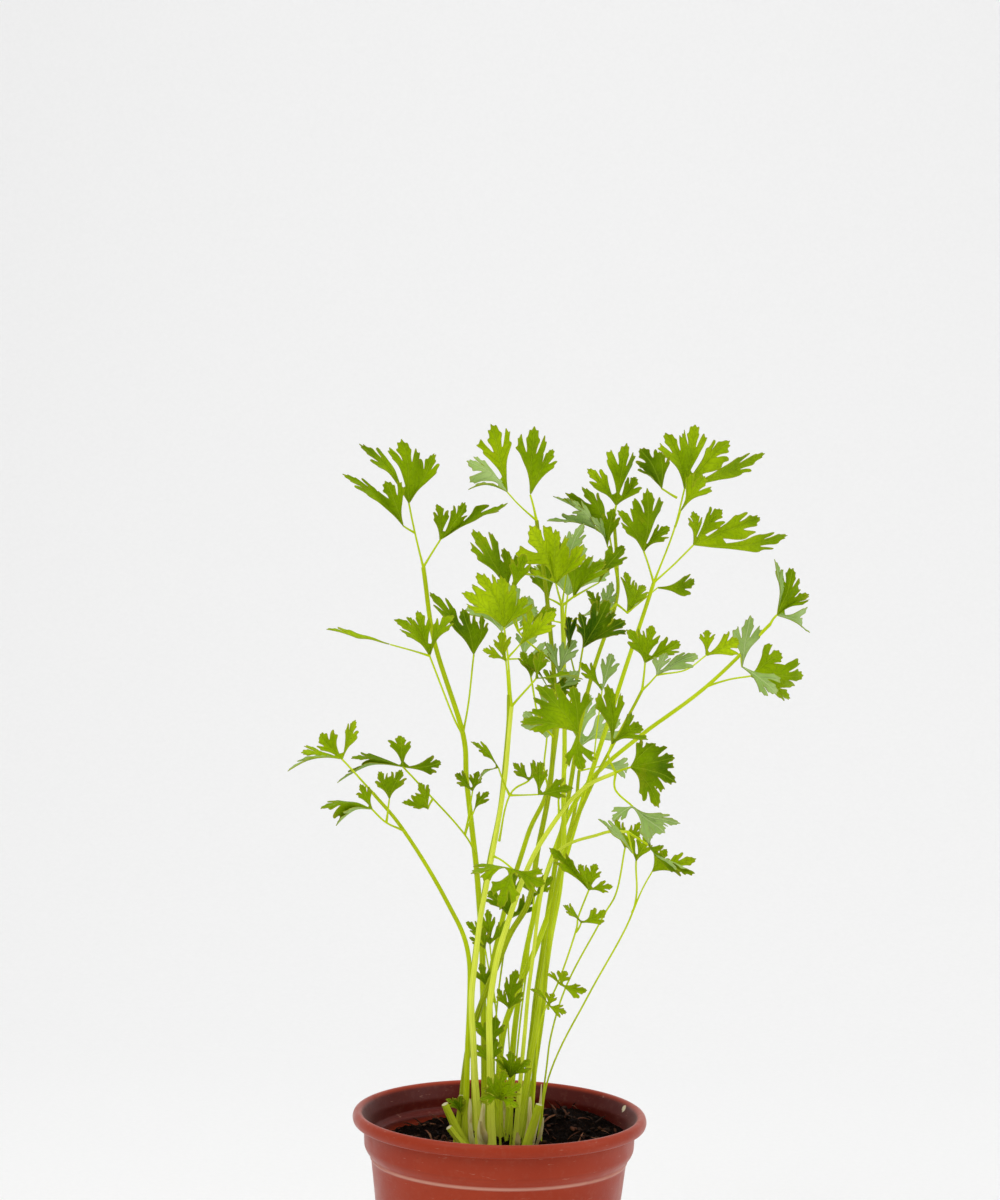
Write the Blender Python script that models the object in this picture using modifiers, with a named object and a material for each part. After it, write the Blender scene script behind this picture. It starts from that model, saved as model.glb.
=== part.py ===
"""Potted flat-leaf parsley: a 13 cm nursery pot, its potting mix, the root crown and every stalk and leaf.

The origin is the centre of the pot's flat base, +Z is up and -Y is the side that the plant turns to.
Lengths below are in millimetres and are multiplied by MM where a mesh is made.
"""

import math

import bmesh
import bpy
from mathutils import Quaternion, Vector

MM = 0.001

# Pot
POT_HEIGHT = 112.0
POT_WALL = 1.2
LIP_RADIUS = 65.0
BAND_RADIUS = 59.5
LEDGE_HEIGHT = 99.2
CREASE_HEIGHT = 90.5
BASE_RADIUS = 45.0
FLOOR_THICKNESS = 2.0
ROUND_STEPS = 36
DRAIN_HOLES = 6
DRAIN_RADIUS = 4.0
DRAIN_CIRCLE = 29.0

# Potting mix and root crown
CLEARANCE = 0.3
SOIL_LEVEL = 97.0
SOIL_RADIUS = 54.0
CROWN_RADIUS = 21.5
CROWN_TOP = 101.0
TAPROOT_TIP = 30.0

# Blades and twigs
BLADE_THICKNESS = 0.6
TWIG_RADIUS = 0.6
TWIG_START = 2.6
FACING = Vector((0.0, -0.8, 0.6))

# Outline of half a leaflet, base to tip: x is the share of the width, y the share of the length.
THREE_LOBES = [(0.035, 0.0), (0.05, 0.14), (0.47, 0.62), (0.16, 0.66)]
SMALL_LOBES = [(0.05, 0.0), (0.45, 0.64), (0.17, 0.70)]
SMALL_WIDTH = 13

# Stalks: radius at the foot, radius at the top, and the points that the stalk passes through.
STALKS = {
    "stalk_tall_left": (1.4, 0.9, [(-6, 5, 95), (-9, 4, 175), (-12, 3, 213), (-18, 0, 256), (-20, 0, 278),
                                   (-33, 2, 317), (-39, 4, 351)]),
    "stalk_low_left": (1.2, 0.7, [(-15, -6, 95), (-15, -11, 140), (-15, -13, 182), (-25, -20, 208),
                                  (-44, -30, 239), (-57, -40, 256)]),
    "stalk_front_left": (1.4, 0.8, [(-8, -12, 95), (-12, -18, 142), (-13, -20, 172), (-8, -22, 214),
                                    (-3, -26, 244), (0, -32, 278), (1, -36, 294)]),
    "stalk_front_right": (1.5, 0.8, [(-3, -17, 95), (-5, -22, 143), (-5, -25, 168), (1, -29, 197),
                                     (11, -37, 228), (22, -44, 249), (33, -50, 262), (45, -57, 269)]),
    "stalk_crossing": (1.4, 0.8, [(-17, 1, 95), (-16, 0, 126), (-12, -4, 151), (1, -10, 188), (10, -12, 206),
                                  (14, -14, 230), (20, -18, 279), (17, -14, 327), (10, -18, 373)]),
    "stalk_centre": (1.4, 0.8, [(7, 2, 95), (13, 0, 134), (20, -3, 184), (24, -4, 215), (25, -6, 250),
                                (24, -6, 300), (22, -10, 336)]),
    "stalk_back_right": (1.3, 0.7, [(10, 9, 95), (14, 11, 150), (21, 11, 210), (34, 14, 294), (46, 21, 334),
                                    (47, 25, 352), (45, 28, 375)]),
    "stalk_tall_right": (1.4, 0.8, [(0, 0, 95), (0, 2, 140), (6, 4, 163), (20, 5, 200), (32, 6, 245),
                                    (47, 10, 294), (63, 16, 346)]),
    "stalk_far_right": (1.3, 0.7, [(4, 9, 95), (6, 13, 150), (14, 13, 200), (32, 18, 250), (60, 22, 278),
                                   (89, 26, 300), (117, 34, 328)]),
    "stalk_mid_right": (1.0, 0.6, [(11, -4, 95), (17, -9, 150), (23, -10, 215), (36, -14, 256), (57, -22, 301)]),
    "stalk_arching": (0.9, 0.6, [(7, -10, 95), (9, -14, 140), (13, -17, 185), (20, -22, 227), (40, -39, 241),
                                 (51, -47, 243)]),
    "stalk_back_left": (1.2, 0.8, [(-10, 13, 95), (-13, 20, 142), (-13, 27, 172), (-8, 35, 212), (-3, 42, 242),
                                   (0, 47, 275), (0, 50, 292)]),
    "stalk_back_middle": (1.3, 0.8, [(-4, 17, 95), (-5, 26, 143), (-5, 33, 168), (1, 39, 197), (10, 46, 228),
                                     (19, 50, 250), (24, 53, 290), (25, 55, 325)]),
    "stalk_back_low": (1.2, 0.7, [(12, 15, 95), (13, 22, 134), (20, 31, 184), (25, 37, 215), (31, 45, 240),
                                  (33, 50, 258)]),
}

# Leaves: each is a list of shoots, a twig's points and the leaflets that fan from its last point.
# A leaflet is its tip, its width, and how far it is turned about its own length in degrees.
LEAVES = {
    "leaf_tall_left_top": [
        ([(-39, 4, 351), (-43, 5, 366), (-46, 6, 379)],
         [((-69, -4, 405), 11, 25), ((-50, 10, 408), 16, 0), ((-35, 15, 401), 12, -20)]),
        ([(-43, 5, 366), (-48, 0, 369)], [((-75, -12, 391), 11, 30), ((-57, -5, 389), 13, -10)]),
    ],
    "leaf_tall_left_east": [
        ([(-39, 4, 351), (-32, 11, 363)],
         [((-34, 7, 379), 10, 20), ((-21, 16, 380), 11, 10), ((-2, 27, 380), 12, -35)]),
    ],
    "leaf_tall_left_west": [
        ([(-20, 0, 278), (-25, -8, 288), (-35, -10, 313)],
         [((-51, -14, 329), 13, 15), ((-41, -4, 333), 12, -10), ((-25, -3, 331), 12, -30)]),
        ([(-35, -10, 313), (-52, -17, 318)], [((-80, -23, 324), 11, 35)]),
    ],
    "leaf_tall_left_mid": [
        ([(-20, 0, 278), (-18, 4, 292), (-16, 8, 313)],
         [((-13, 9, 330), 8, 50), ((-22, 15, 333), 12, 0), ((-37, 17, 340), 11, 25)]),
    ],
    "leaf_left_low": [
        ([(-13, 2, 225), (-18, -9, 235), (-32, -20, 252), (-45, -26, 266)],
         [((-46, -20, 279), 11, 10), ((-67, -34, 270), 11, 45), ((-73, -38, 259), 7, 60),
          ((-29, -18, 267), 8, 40)]),
        ([(-32, -20, 252), (-34, -25, 248)], [((-45, -34, 252), 10, 20), ((-38, -30, 260), 9, 20)]),
        ([(-18, -9, 235), (-15, -14, 255)], [((-23, -21, 263), 8, 0), ((-13, -17, 264), 7, 0)]),
    ],
    "leaf_low_left_end": [
        ([(-57, -40, 256), (-70, -48, 271)],
         [((-87, -56, 274), 13, 40), ((-92, -62, 267), 6, 50), ((-80, -44, 281), 10, 0),
          ((-65, -38, 287), 8, 50)]),
    ],
    "leaf_low_left_side": [
        ([(-44, -30, 239), (-51, -42, 244), (-57, -47, 250)],
         [((-78, -61, 251), 10, 50), ((-72, -58, 244), 9, 70), ((-62, -47, 261), 8, 20)]),
        ([(-51, -42, 244), (-50, -41, 254)], [((-55, -43, 266), 9, 30), ((-45, -38, 266), 9, 20)]),
    ],
    "leaf_front_left_top": [
        ([(1, -36, 294), (-1, -38, 315), (-3, -41, 328)],
         [((-22, -50, 343), 14, 10), ((-15, -44, 351), 14, 0), ((-5, -40, 350), 14, 0),
          ((7, -37, 341), 14, -10)]),
    ],
    "leaf_front_left_right": [
        ([(1, -36, 294), (11, -36, 306)], [((13, -34, 318), 8, 30), ((31, -30, 306), 12, -50)]),
        ([(1, -36, 294), (-2, -47, 314)], [((-12, -52, 319), 9, 20), ((-4, -50, 327), 9, 0)]),
    ],
    "leaf_front_left_low": [
        ([(-3, -26, 235), (1, -36, 256), (9, -41, 263)],
         [((2, -44, 271), 8, 0), ((16, -43, 271), 9, 0)]),
        ([(1, -36, 256), (13, -48, 258)], [((14, -52, 273), 8, 10), ((28, -56, 262), 10, 30)]),
        ([(1, -36, 256), (-4, -40, 268)], [((-16, -44, 279), 8, 40), ((-13, -44, 262), 7, 60)]),
    ],
    "leaf_front_star": [
        ([(-5, -24, 228), (-2, -34, 228), (3, -40, 225)],
         [((-15, -46, 223), 13, 50), ((-2, -50, 209), 14, 15), ((18, -45, 219), 13, 40)]),
    ],
    "leaf_front_right_upper": [
        ([(45, -57, 269), (42, -58, 276), (43, -58, 281)],
         [((40, -62, 307), 15, 10), ((56, -51, 289), 14, 10)]),
    ],
    "leaf_front_right_fan": [
        ([(45, -57, 269), (51, -63, 272)],
         [((61, -66, 283), 11, 10), ((69, -69, 277), 14, 0), ((70, -74, 266), 14, 10),
          ((62, -76, 257), 12, 0)]),
    ],
    "leaf_front_right_hanging": [
        ([(45, -57, 269), (45, -61, 262), (52, -66, 256)],
         [((44, -70, 250), 9, 20), ((65, -72, 245), 14, 20), ((72, -72, 250), 9, 60)]),
    ],
    "leaf_front_centre": [
        ([(22, -44, 249), (22, -52, 262), (29, -52, 285)],
         [((4, -60, 290), 16, 15), ((11, -50, 305), 14, 10), ((27, -47, 304), 14, 0),
          ((31, -62, 270), 15, 10)]),
    ],
    "leaf_top_centre": [
        ([(10, -18, 373), (7, -17, 384)], [((8, -13, 414), 14, 10), ((17, -9, 404), 10, 30)]),
        ([(10, -18, 373), (2, -22, 380), (-3, -24, 385)],
         [((-11, -21, 414), 14, 0), ((-21, -33, 398), 13, 20), ((-20, -36, 385), 8, 60)]),
    ],
    "leaf_inner_left": [
        ([(20, -18, 279), (13, -25, 288), (9, -27, 306)], [((4, -25, 317), 9, 10), ((13, -22, 318), 9, 10)]),
    ],
    "leaf_centre_bright": [
        ([(22, -10, 336), (19, -18, 346)],
         [((6, -31, 372), 16, 15), ((18, -26, 370), 14, 0), ((30, -18, 363), 14, -10),
          ((5, -29, 350), 11, 40)]),
    ],
    "leaf_centre_right": [
        ([(22, -10, 336), (27, -7, 340)], [((28, -4, 359), 13, 0), ((41, 0, 356), 13, 0)]),
        ([(27, -7, 340), (38, 0, 346)], [((50, 9, 362), 11, 0)]),
    ],
    "leaf_centre_dark": [
        ([(25, -6, 290), (29, -19, 303), (31, -26, 319)],
         [((29, -31, 335), 11, 30), ((42, -25, 340), 14, 0), ((49, -20, 331), 13, 10)]),
        ([(29, -19, 303), (25, -22, 318)], [((23, -30, 333), 10, 40)]),
    ],
    "leaf_centre_left": [
        ([(24, -6, 300), (19, -20, 312), (3, -31, 326), (-2, -34, 344)],
         [((-17, -44, 370), 14, 0), ((-4, -36, 362), 13, -10)]),
        ([(3, -31, 326), (0, -38, 343)], [((5, -42, 359), 11, 20)]),
        ([(3, -31, 326), (8, -30, 330)], [((19, -27, 336), 9, 40)]),
    ],
    "leaf_back_right_top": [
        ([(45, 28, 375), (46, 28, 380)],
         [((50, 25, 409), 15, 0), ((32, 24, 396), 12, 0), ((55, 34, 393), 10, 20)]),
    ],
    "leaf_back_right_side": [
        ([(47, 21, 336), (52, 25, 332)], [((51, 32, 350), 10, 40), ((60, 38, 344), 9, 20)]),
        ([(52, 25, 332), (66, 38, 343)], [((84, 48, 346), 12, 50)]),
    ],
    "leaf_back_right_flat": [
        ([(47, 24, 348), (43, 18, 366)], [((17, 8, 384), 15, 55), ((30, 15, 388), 12, 30)]),
    ],
    "leaf_tall_right_inner": [
        ([(63, 16, 346), (58, 12, 360)],
         [((58, 4, 389), 14, 0), ((45, 3, 378), 13, 10), ((70, 14, 371), 11, -10)]),
    ],
    "leaf_tall_right_crown": [
        ([(63, 16, 346), (72, 19, 371), (76, 22, 388)],
         [((66, 18, 413), 13, 0), ((80, 25, 417), 14, 0), ((97, 36, 410), 12, 30), ((114, 50, 405), 10, 50)]),
        ([(72, 19, 371), (74, 15, 378)], [((85, 20, 394), 13, 10)]),
    ],
    "leaf_tall_right_west": [
        ([(72, 13, 384), (65, 9, 388)], [((55, 4, 406), 12, 0), ((63, 5, 404), 9, 20), ((54, 0, 396), 8, 30)]),
    ],
    "leaf_tall_right_east": [
        ([(63, 16, 346), (71, 25, 353), (81, 27, 363)],
         [((80, 25, 379), 10, 20), ((95, 34, 379), 12, 10), ((112, 43, 376), 11, 30), ((126, 52, 368), 9, 50)]),
    ],
    "leaf_mid_right": [
        ([(57, -22, 301), (58, -22, 313)],
         [((49, -28, 328), 12, 0), ((61, -23, 329), 11, 10), ((73, -18, 323), 11, 0)]),
        ([(57, -22, 301), (63, -25, 308)], [((80, -30, 317), 12, 20), ((66, -34, 318), 9, 30)]),
        ([(63, -25, 308), (76, -17, 310), (85, -11, 316)], [((85, -9, 327), 9, 10), ((100, -2, 322), 12, 30)]),
    ],
    "leaf_far_right_end": [
        ([(117, 34, 328), (120, 36, 332)],
         [((117, 30, 358), 7, 60), ((127, 34, 354), 13, 0), ((135, 42, 342), 13, 0), ((133, 54, 326), 13, 20)]),
    ],
    "leaf_far_right_mid": [
        ([(104, 30, 314), (104, 25, 309)], [((106, 15, 333), 13, 10), ((120, 22, 297), 13, 0)]),
    ],
    "leaf_far_right_veined": [
        ([(89, 26, 300), (100, 33, 303), (109, 38, 304)],
         [((124, 46, 315), 14, 10), ((135, 53, 304), 14, 10), ((129, 55, 293), 12, 0)]),
    ],
    "leaf_arching": [
        ([(51, -47, 243), (60, -52, 238)],
         [((79, -66, 229), 11, 60), ((67, -62, 233), 9, 40), ((59, -58, 250), 10, 10)]),
        ([(51, -47, 243), (53, -55, 235)], [((38, -54, 249), 12, 40)]),
    ],
    "leaf_back_left_top": [
        ([(0, 50, 292), (-2, 53, 308), (-4, 55, 321)],
         [((-17, 61, 338), 14, 160), ((-4, 60, 346), 15, 180), ((9, 63, 338), 14, 200)]),
        ([(-2, 53, 308), (6, 60, 308)], [((20, 68, 312), 11, 210), ((8, 66, 322), 11, 180)]),
    ],
    "leaf_back_middle_top": [
        ([(25, 55, 325), (26, 58, 338)],
         [((12, 61, 356), 14, 170), ((27, 61, 367), 15, 180), ((43, 65, 355), 14, 190)]),
        ([(25, 55, 325), (33, 63, 328)], [((48, 75, 332), 13, 230)]),
        ([(25, 55, 325), (18, 63, 326)], [((4, 77, 330), 13, 130)]),
    ],
    "leaf_back_middle_side": [
        ([(19, 50, 250), (17, 57, 259), (18, 59, 272)],
         [((7, 63, 283), 12, 150), ((20, 65, 295), 13, 180), ((29, 64, 285), 10, 205)]),
    ],
    "leaf_back_low_top": [
        ([(33, 50, 258), (33, 58, 268)],
         [((27, 69, 284), 12, 180), ((38, 68, 292), 13, 180), ((52, 71, 281), 13, 200)]),
        ([(33, 50, 258), (42, 60, 259)], [((56, 73, 258), 12, 230)]),
    ],
}

# Whole young leaves, stalk and leaflets in one: radius at the foot, then shoots as above.
YOUNG_LEAVES = {
    "young_leaf_right": (0.7, [
        ([(18, -2, 95), (21, -5, 128), (37, -14, 166), (55, -24, 205), (56, -28, 228)],
         [((50, -32, 240), 8, 20), ((61, -33, 240), 8, 20)]),
        ([(55, -24, 205), (63, -30, 224)], [((69, -34, 235), 9, 0), ((81, -40, 231), 10, 30)]),
    ]),
    "young_leaf_middle": (0.6, [
        ([(17, 6, 95), (20, 5, 128), (22, 4, 146), (29, 1, 170), (43, -3, 199), (49, -5, 211), (52, -9, 231)],
         [((47, -13, 244), 7, 20), ((58, -12, 243), 7, 20)]),
    ]),
    "young_leaf_left": (0.6, [
        ([(14, -9, 95), (15, -11, 125), (17, -14, 154), (24, -19, 173), (31, -24, 196), (32, -26, 203),
          (36, -28, 215)],
         [((18, -34, 234), 11, 20), ((31, -34, 227), 7, 10), ((39, -32, 227), 9, 0), ((46, -35, 218), 6, 40)]),
        ([(31, -24, 196), (33, -29, 201)], [((25, -32, 209), 8, 30), ((44, -33, 207), 9, 30)]),
        ([(24, -19, 173), (25, -24, 173)],
         [((18, -27, 178), 6, 30), ((27, -28, 180), 7, 10), ((36, -28, 172), 8, 40)]),
    ]),
    "young_leaf_inner": (0.8, [
        ([(3, -6, 95), (5, -4, 118), (7, -3, 140), (10, 0, 171), (13, -4, 208)],
         [((21, -10, 218), 9, 0), ((6, -8, 219), 9, 10)]),
        ([(5, -4, 118), (1, -5, 134), (-3, -1, 160), (-6, -1, 186)],
         [((-17, -4, 196), 8, 20), ((-7, -3, 202), 8, 0), ((2, -2, 197), 7, 10)]),
        ([(-3, -1, 160), (-6, 0, 164)], [((-10, -2, 178), 8, 0)]),
        ([(1, -5, 134), (-5, -9, 142)], [((-13, -9, 153), 9, 10), ((-3, -10, 157), 10, 0)]),
    ]),
    "young_leaf_back": (0.8, [
        ([(-2, 14, 95), (-3, 16, 140), (0, 20, 175), (3, 22, 194)],
         [((-7, 25, 206), 11, 150), ((3, 28, 214), 12, 180), ((13, 25, 204), 11, 210)]),
    ]),
    "young_leaf_bright": (0.6, [
        ([(1, -19, 95), (0, -26, 112), (0, -31, 124)],
         [((-9, -38, 125), 9, 10), ((-6, -38, 135), 9, 0), ((2, -37, 138), 9, 0), ((9, -37, 132), 9, 0),
          ((8, -38, 122), 8, 10)]),
    ]),
}

# Cut stubs of harvested stalks: radius, foot and cut end. They are one with the crown.
STUBS = [
    (1.7, (-13, -11, 96), (-24, -16, 118)),
    (1.4, (-10, -16, 95), (-22, -21, 109)),
    (1.7, (10, -15, 95), (17, -17, 119)),
    (1.3, (-19, -4, 95), (-17, -8, 120)),
    (1.1, (13, 2, 95), (14, 3, 113)),
]

COLOURS = {
    "terracotta": ((0.36, 0.07, 0.035), 0.5),
    "soil": ((0.02, 0.012, 0.008), 0.95),
    "crown": ((0.42, 0.36, 0.16), 0.6),
    "stalk": ((0.36, 0.5, 0.06), 0.4),
    "leaf": ((0.14, 0.27, 0.02), 0.45),
}


def new_collection(name):
    collection = bpy.data.collections.new(name)
    bpy.context.scene.collection.children.link(collection)
    return collection


def new_material(name, colour, roughness):
    material = bpy.data.materials.new(name)
    material.use_nodes = True
    shader = material.node_tree.nodes["Principled BSDF"]
    shader.inputs["Base Color"].default_value = (*colour, 1.0)
    shader.inputs["Roughness"].default_value = roughness
    shader.inputs["Metallic"].default_value = 0.0
    return material


def place(obj, collection, material=None):
    collection.objects.link(obj)
    if material:
        obj.data.materials.append(material)
    return obj


def hide_cutter(obj):
    obj.hide_render = True
    obj.display_type = "WIRE"
    return obj


def as_mesh(obj, name, collection):
    """A mesh copy of the object as evaluated, in place of it, with its caps welded."""
    bpy.context.view_layer.update()
    evaluated = obj.evaluated_get(bpy.context.evaluated_depsgraph_get())
    mesh = bpy.data.meshes.new_from_object(evaluated)
    clean = bmesh.new()
    clean.from_mesh(mesh)
    bmesh.ops.remove_doubles(clean, verts=clean.verts, dist=0.01 * MM)
    bmesh.ops.recalc_face_normals(clean, faces=clean.faces)
    clean.to_mesh(mesh)
    clean.free()
    matrix = obj.matrix_world.copy()
    bpy.data.objects.remove(obj, do_unlink=True)
    mesh.name = name
    copy = bpy.data.objects.new(name, mesh)
    copy.matrix_world = matrix
    return place(copy, collection)


def boolean(target, other, operation, solver="EXACT"):
    modifier = target.modifiers.new(other.name, "BOOLEAN")
    modifier.operation = operation
    modifier.solver = solver
    modifier.object = other


def turned(name, profile, steps, collection, material=None):
    """A profile of (radius, height) turned about Z."""
    mesh = bpy.data.meshes.new(name)
    points = [(radius * MM, 0.0, height * MM) for radius, height in profile]
    mesh.from_pydata(points, [(i, i + 1) for i in range(len(points) - 1)], [])
    obj = place(bpy.data.objects.new(name, mesh), collection, material)
    screw = obj.modifiers.new("turn", "SCREW")
    screw.axis = "Z"
    screw.steps = steps
    screw.render_steps = steps
    screw.use_merge_vertices = True
    screw.merge_threshold = 0.01 * MM
    return obj


def smooth_route(points, steps):
    """Points along a smooth curve that passes through the given ones."""
    route = [Vector(point) for point in points]
    padded = [route[0] * 2 - route[1], *route, route[-1] * 2 - route[-2]]
    smooth = []
    for before, start, end, after in zip(padded, padded[1:], padded[2:], padded[3:]):
        for step in range(steps):
            t = step / steps
            smooth.append(0.5 * (2 * start + (end - before) * t
                                 + (2 * before - 5 * start + 4 * end - after) * t * t
                                 + (3 * start - before - 3 * end + after) * t ** 3))
    return [*smooth, route[-1]]


def tube(name, points, foot_radius, top_radius, collection):
    """A round stem through the points, tapering from foot to top, with filled caps."""
    curve = bpy.data.curves.new(name, "CURVE")
    curve.dimensions = "3D"
    curve.bevel_depth = foot_radius * MM
    curve.bevel_resolution = 1 if foot_radius > TWIG_RADIUS else 0
    curve.use_fill_caps = True
    spline = curve.splines.new("POLY")
    spline.points.add(len(points) - 1)
    for index, point in enumerate(points):
        share = index / (len(points) - 1)
        spline.points[index].co = (*(Vector(point) * MM), 1.0)
        spline.points[index].radius = 1.0 + (top_radius / foot_radius - 1.0) * share
    return as_mesh(place(bpy.data.objects.new(name, curve), collection), name, collection)


def leaflet(name, base, tip, width, turn, collection):
    """A thin lobed blade from base to tip, folded a little along its middle."""
    base = Vector(base)
    length = (Vector(tip) - base).length
    along = (Vector(tip) - base) / length
    face = (FACING - along * FACING.dot(along)).normalized()
    face = Quaternion(along, math.radians(turn)) @ face
    side = along.cross(face)
    half = SMALL_LOBES if width < SMALL_WIDTH else THREE_LOBES
    outline = [*half, (0.0, 1.0), *[(-x, y) for x, y in reversed(half)]]

    def spot(x, y):
        lift = 0.05 * length * math.sin(math.pi * y) + 0.25 * width * abs(x)
        return (base + side * (x * width) + along * (y * length) + face * lift) * MM

    blade = bmesh.new()
    rim = blade.faces.new([blade.verts.new(spot(x, y)) for x, y in outline])
    centre = bmesh.ops.poke(blade, faces=[rim])["verts"][0]
    centre.co = spot(0.0, 0.5)
    mesh = bpy.data.meshes.new(name)
    blade.to_mesh(mesh)
    blade.free()
    obj = place(bpy.data.objects.new(name, mesh), collection)
    solid = obj.modifiers.new("thickness", "SOLIDIFY")
    solid.thickness = BLADE_THICKNESS * MM
    solid.offset = 0.0
    return obj


def set_back(route, distance):
    """The route's start moved along it by the distance."""
    first = Vector(route[0])
    return first + (Vector(route[1]) - first).normalized() * distance


def shoots_to_leaf(name, shoots, radius, start, steps, collection, cutters, material):
    """One body made of a leaf's twigs and leaflets.

    The thin blades of a fan cross one another near their bases, where EXACT drops some of them.
    """
    leaf = None
    joint = shoots[0][0][0]
    fork = set_back(shoots[0][0], start)
    for number, (route, leaflets) in enumerate(shoots):
        points = [fork, *route[1:]] if route[0] == joint else route
        points = smooth_route(points, steps)
        top = min(radius, TWIG_RADIUS)
        if leaf is None:
            leaf = tube(name, points, radius, top, collection)
            leaf.data.materials.append(material)
        else:
            twig = tube(f"{name}_twig_{number}", points, top, top, cutters)
            boolean(leaf, hide_cutter(twig), "UNION", "MANIFOLD")
        end = Vector(points[-1])
        back = (Vector(points[-2]) - end).normalized()
        for place_in_fan, (tip, width, turn) in enumerate(leaflets):
            base = end + back * (0.5 + 0.35 * place_in_fan)
            blade = leaflet(f"{name}_blade_{number}_{place_in_fan}", base, tip, width, turn, cutters)
            boolean(leaf, hide_cutter(blade), "UNION", "MANIFOLD")
    return leaf


def soil_height(x, y):
    """Height of the potting mix: lower on the left, heaped on the right at the back."""
    heap = math.exp(-((x - 27) ** 2 + (y - 30) ** 2) / 420.0)
    ripple = 0.5 * math.sin(x * 0.31 + 1.0) * math.sin(y * 0.27)
    return SOIL_LEVEL + 0.045 * x + 0.02 * y + 6.0 * heap + ripple


def make_pot(collection, cutters, material):
    rim = POT_HEIGHT
    inner_base = BASE_RADIUS - POT_WALL
    ledge_radius = BAND_RADIUS - 4.4
    profile = [
        (0, FLOOR_THICKNESS),
        (inner_base - 1.2, FLOOR_THICKNESS),
        (inner_base, FLOOR_THICKNESS + 1.5),
        (ledge_radius, LEDGE_HEIGHT - 0.8),
        (ledge_radius + 0.4, LEDGE_HEIGHT),
        (BAND_RADIUS - POT_WALL, LEDGE_HEIGHT + 1.3),
        (BAND_RADIUS - POT_WALL, rim - 4.0),
        (LIP_RADIUS - 4.0, rim - 1.1),
        (LIP_RADIUS - 2.4, rim),
        (LIP_RADIUS - 0.7, rim - 0.9),
        (LIP_RADIUS, rim - 3.2),
        (LIP_RADIUS - 0.8, rim - 5.6),
        (BAND_RADIUS + 0.4, rim - 6.2),
        (BAND_RADIUS, rim - 16.0),
        (BAND_RADIUS - 1.2, rim - 18.6),
        (BAND_RADIUS - 3.2, CREASE_HEIGHT),
        (BASE_RADIUS + 0.8, 2.0),
        (BASE_RADIUS - 1.0, 0),
        (0, 0),
    ]
    pot = turned("pot", profile, ROUND_STEPS, collection, material)
    for number in range(DRAIN_HOLES):
        angle = math.tau * (number + 0.5) / DRAIN_HOLES
        bpy.ops.mesh.primitive_cylinder_add(vertices=12, radius=DRAIN_RADIUS * MM, depth=12 * MM)
        hole = bpy.context.object
        hole.name = f"drain_hole_{number}"
        hole.location = (DRAIN_CIRCLE * math.cos(angle) * MM, DRAIN_CIRCLE * math.sin(angle) * MM, 0.0)
        for linked in list(hole.users_collection):
            linked.objects.unlink(hole)
        cutters.objects.link(hide_cutter(hole))
        boolean(pot, hole, "DIFFERENCE")
    return pot


def crown_profile(extra):
    """The crown's outline from the top down, or that of the hole round it with some extra."""
    return [
        (0, CROWN_TOP + extra),
        (9, CROWN_TOP - 0.6 + extra),
        (CROWN_RADIUS - 5, CROWN_TOP - 2.6 + extra),
        (CROWN_RADIUS + extra, CROWN_TOP - 7),
        (CROWN_RADIUS - 3 + extra, 86),
        (10 + extra, 70),
        (4 + extra, 48),
        (0, TAPROOT_TIP - 4 * extra),
    ]


def make_soil(collection, cutters, material):
    floor = FLOOR_THICKNESS + CLEARANCE
    slope = (BAND_RADIUS - 4.4 - BASE_RADIUS + POT_WALL) / (LEDGE_HEIGHT - 0.8 - FLOOR_THICKNESS - 1.5)
    foot_radius = SOIL_RADIUS - slope * (SOIL_LEVEL - 8.0)
    rings = [(radius, SOIL_LEVEL) for radius in (0, 14, 27, 36, 45, SOIL_RADIUS)]
    profile = [*rings, (foot_radius, 8.0), (foot_radius - 2.5, floor), (0, floor)]
    soil = as_mesh(turned("soil_turned", profile, ROUND_STEPS, collection), "soil", collection)
    soil.data.materials.append(material)
    for vertex in soil.data.vertices:
        if vertex.co.z > (SOIL_LEVEL - 1.0) * MM:
            vertex.co.z = soil_height(vertex.co.x / MM, vertex.co.y / MM) * MM
    well = [(0, 120), (CROWN_RADIUS + CLEARANCE, 120), *crown_profile(CLEARANCE)[3:]]
    hole = turned("crown_hole", well, 28, cutters)
    boolean(soil, hide_cutter(hole), "DIFFERENCE")
    return soil


def make_crown(collection, cutters, material):
    """The crown: a low dome with the stubs on it, with a socket for the foot of each stalk."""
    crown = turned("root_crown", crown_profile(0.0), 28, collection, material)
    for number, (radius, foot, end) in enumerate(STUBS):
        stub = tube(f"stub_{number}", [foot, end], radius, radius * 0.9, cutters)
        boolean(crown, hide_cutter(stub), "UNION")
    feet = [(radius, route[0], route[1]) for radius, _, route in STALKS.values()]
    feet += [(radius, shoots[0][0][0], shoots[0][0][1]) for radius, shoots in YOUNG_LEAVES.values()]
    for number, (radius, foot, above) in enumerate(feet):
        foot = Vector(foot)
        rise = (Vector(above) - foot).normalized()
        ends = [foot - rise * CLEARANCE, foot + rise * 12]
        socket = tube(f"socket_{number}", ends, radius + 0.45, radius + 0.45, cutters)
        boolean(crown, hide_cutter(socket), "DIFFERENCE")
    return crown


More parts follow.
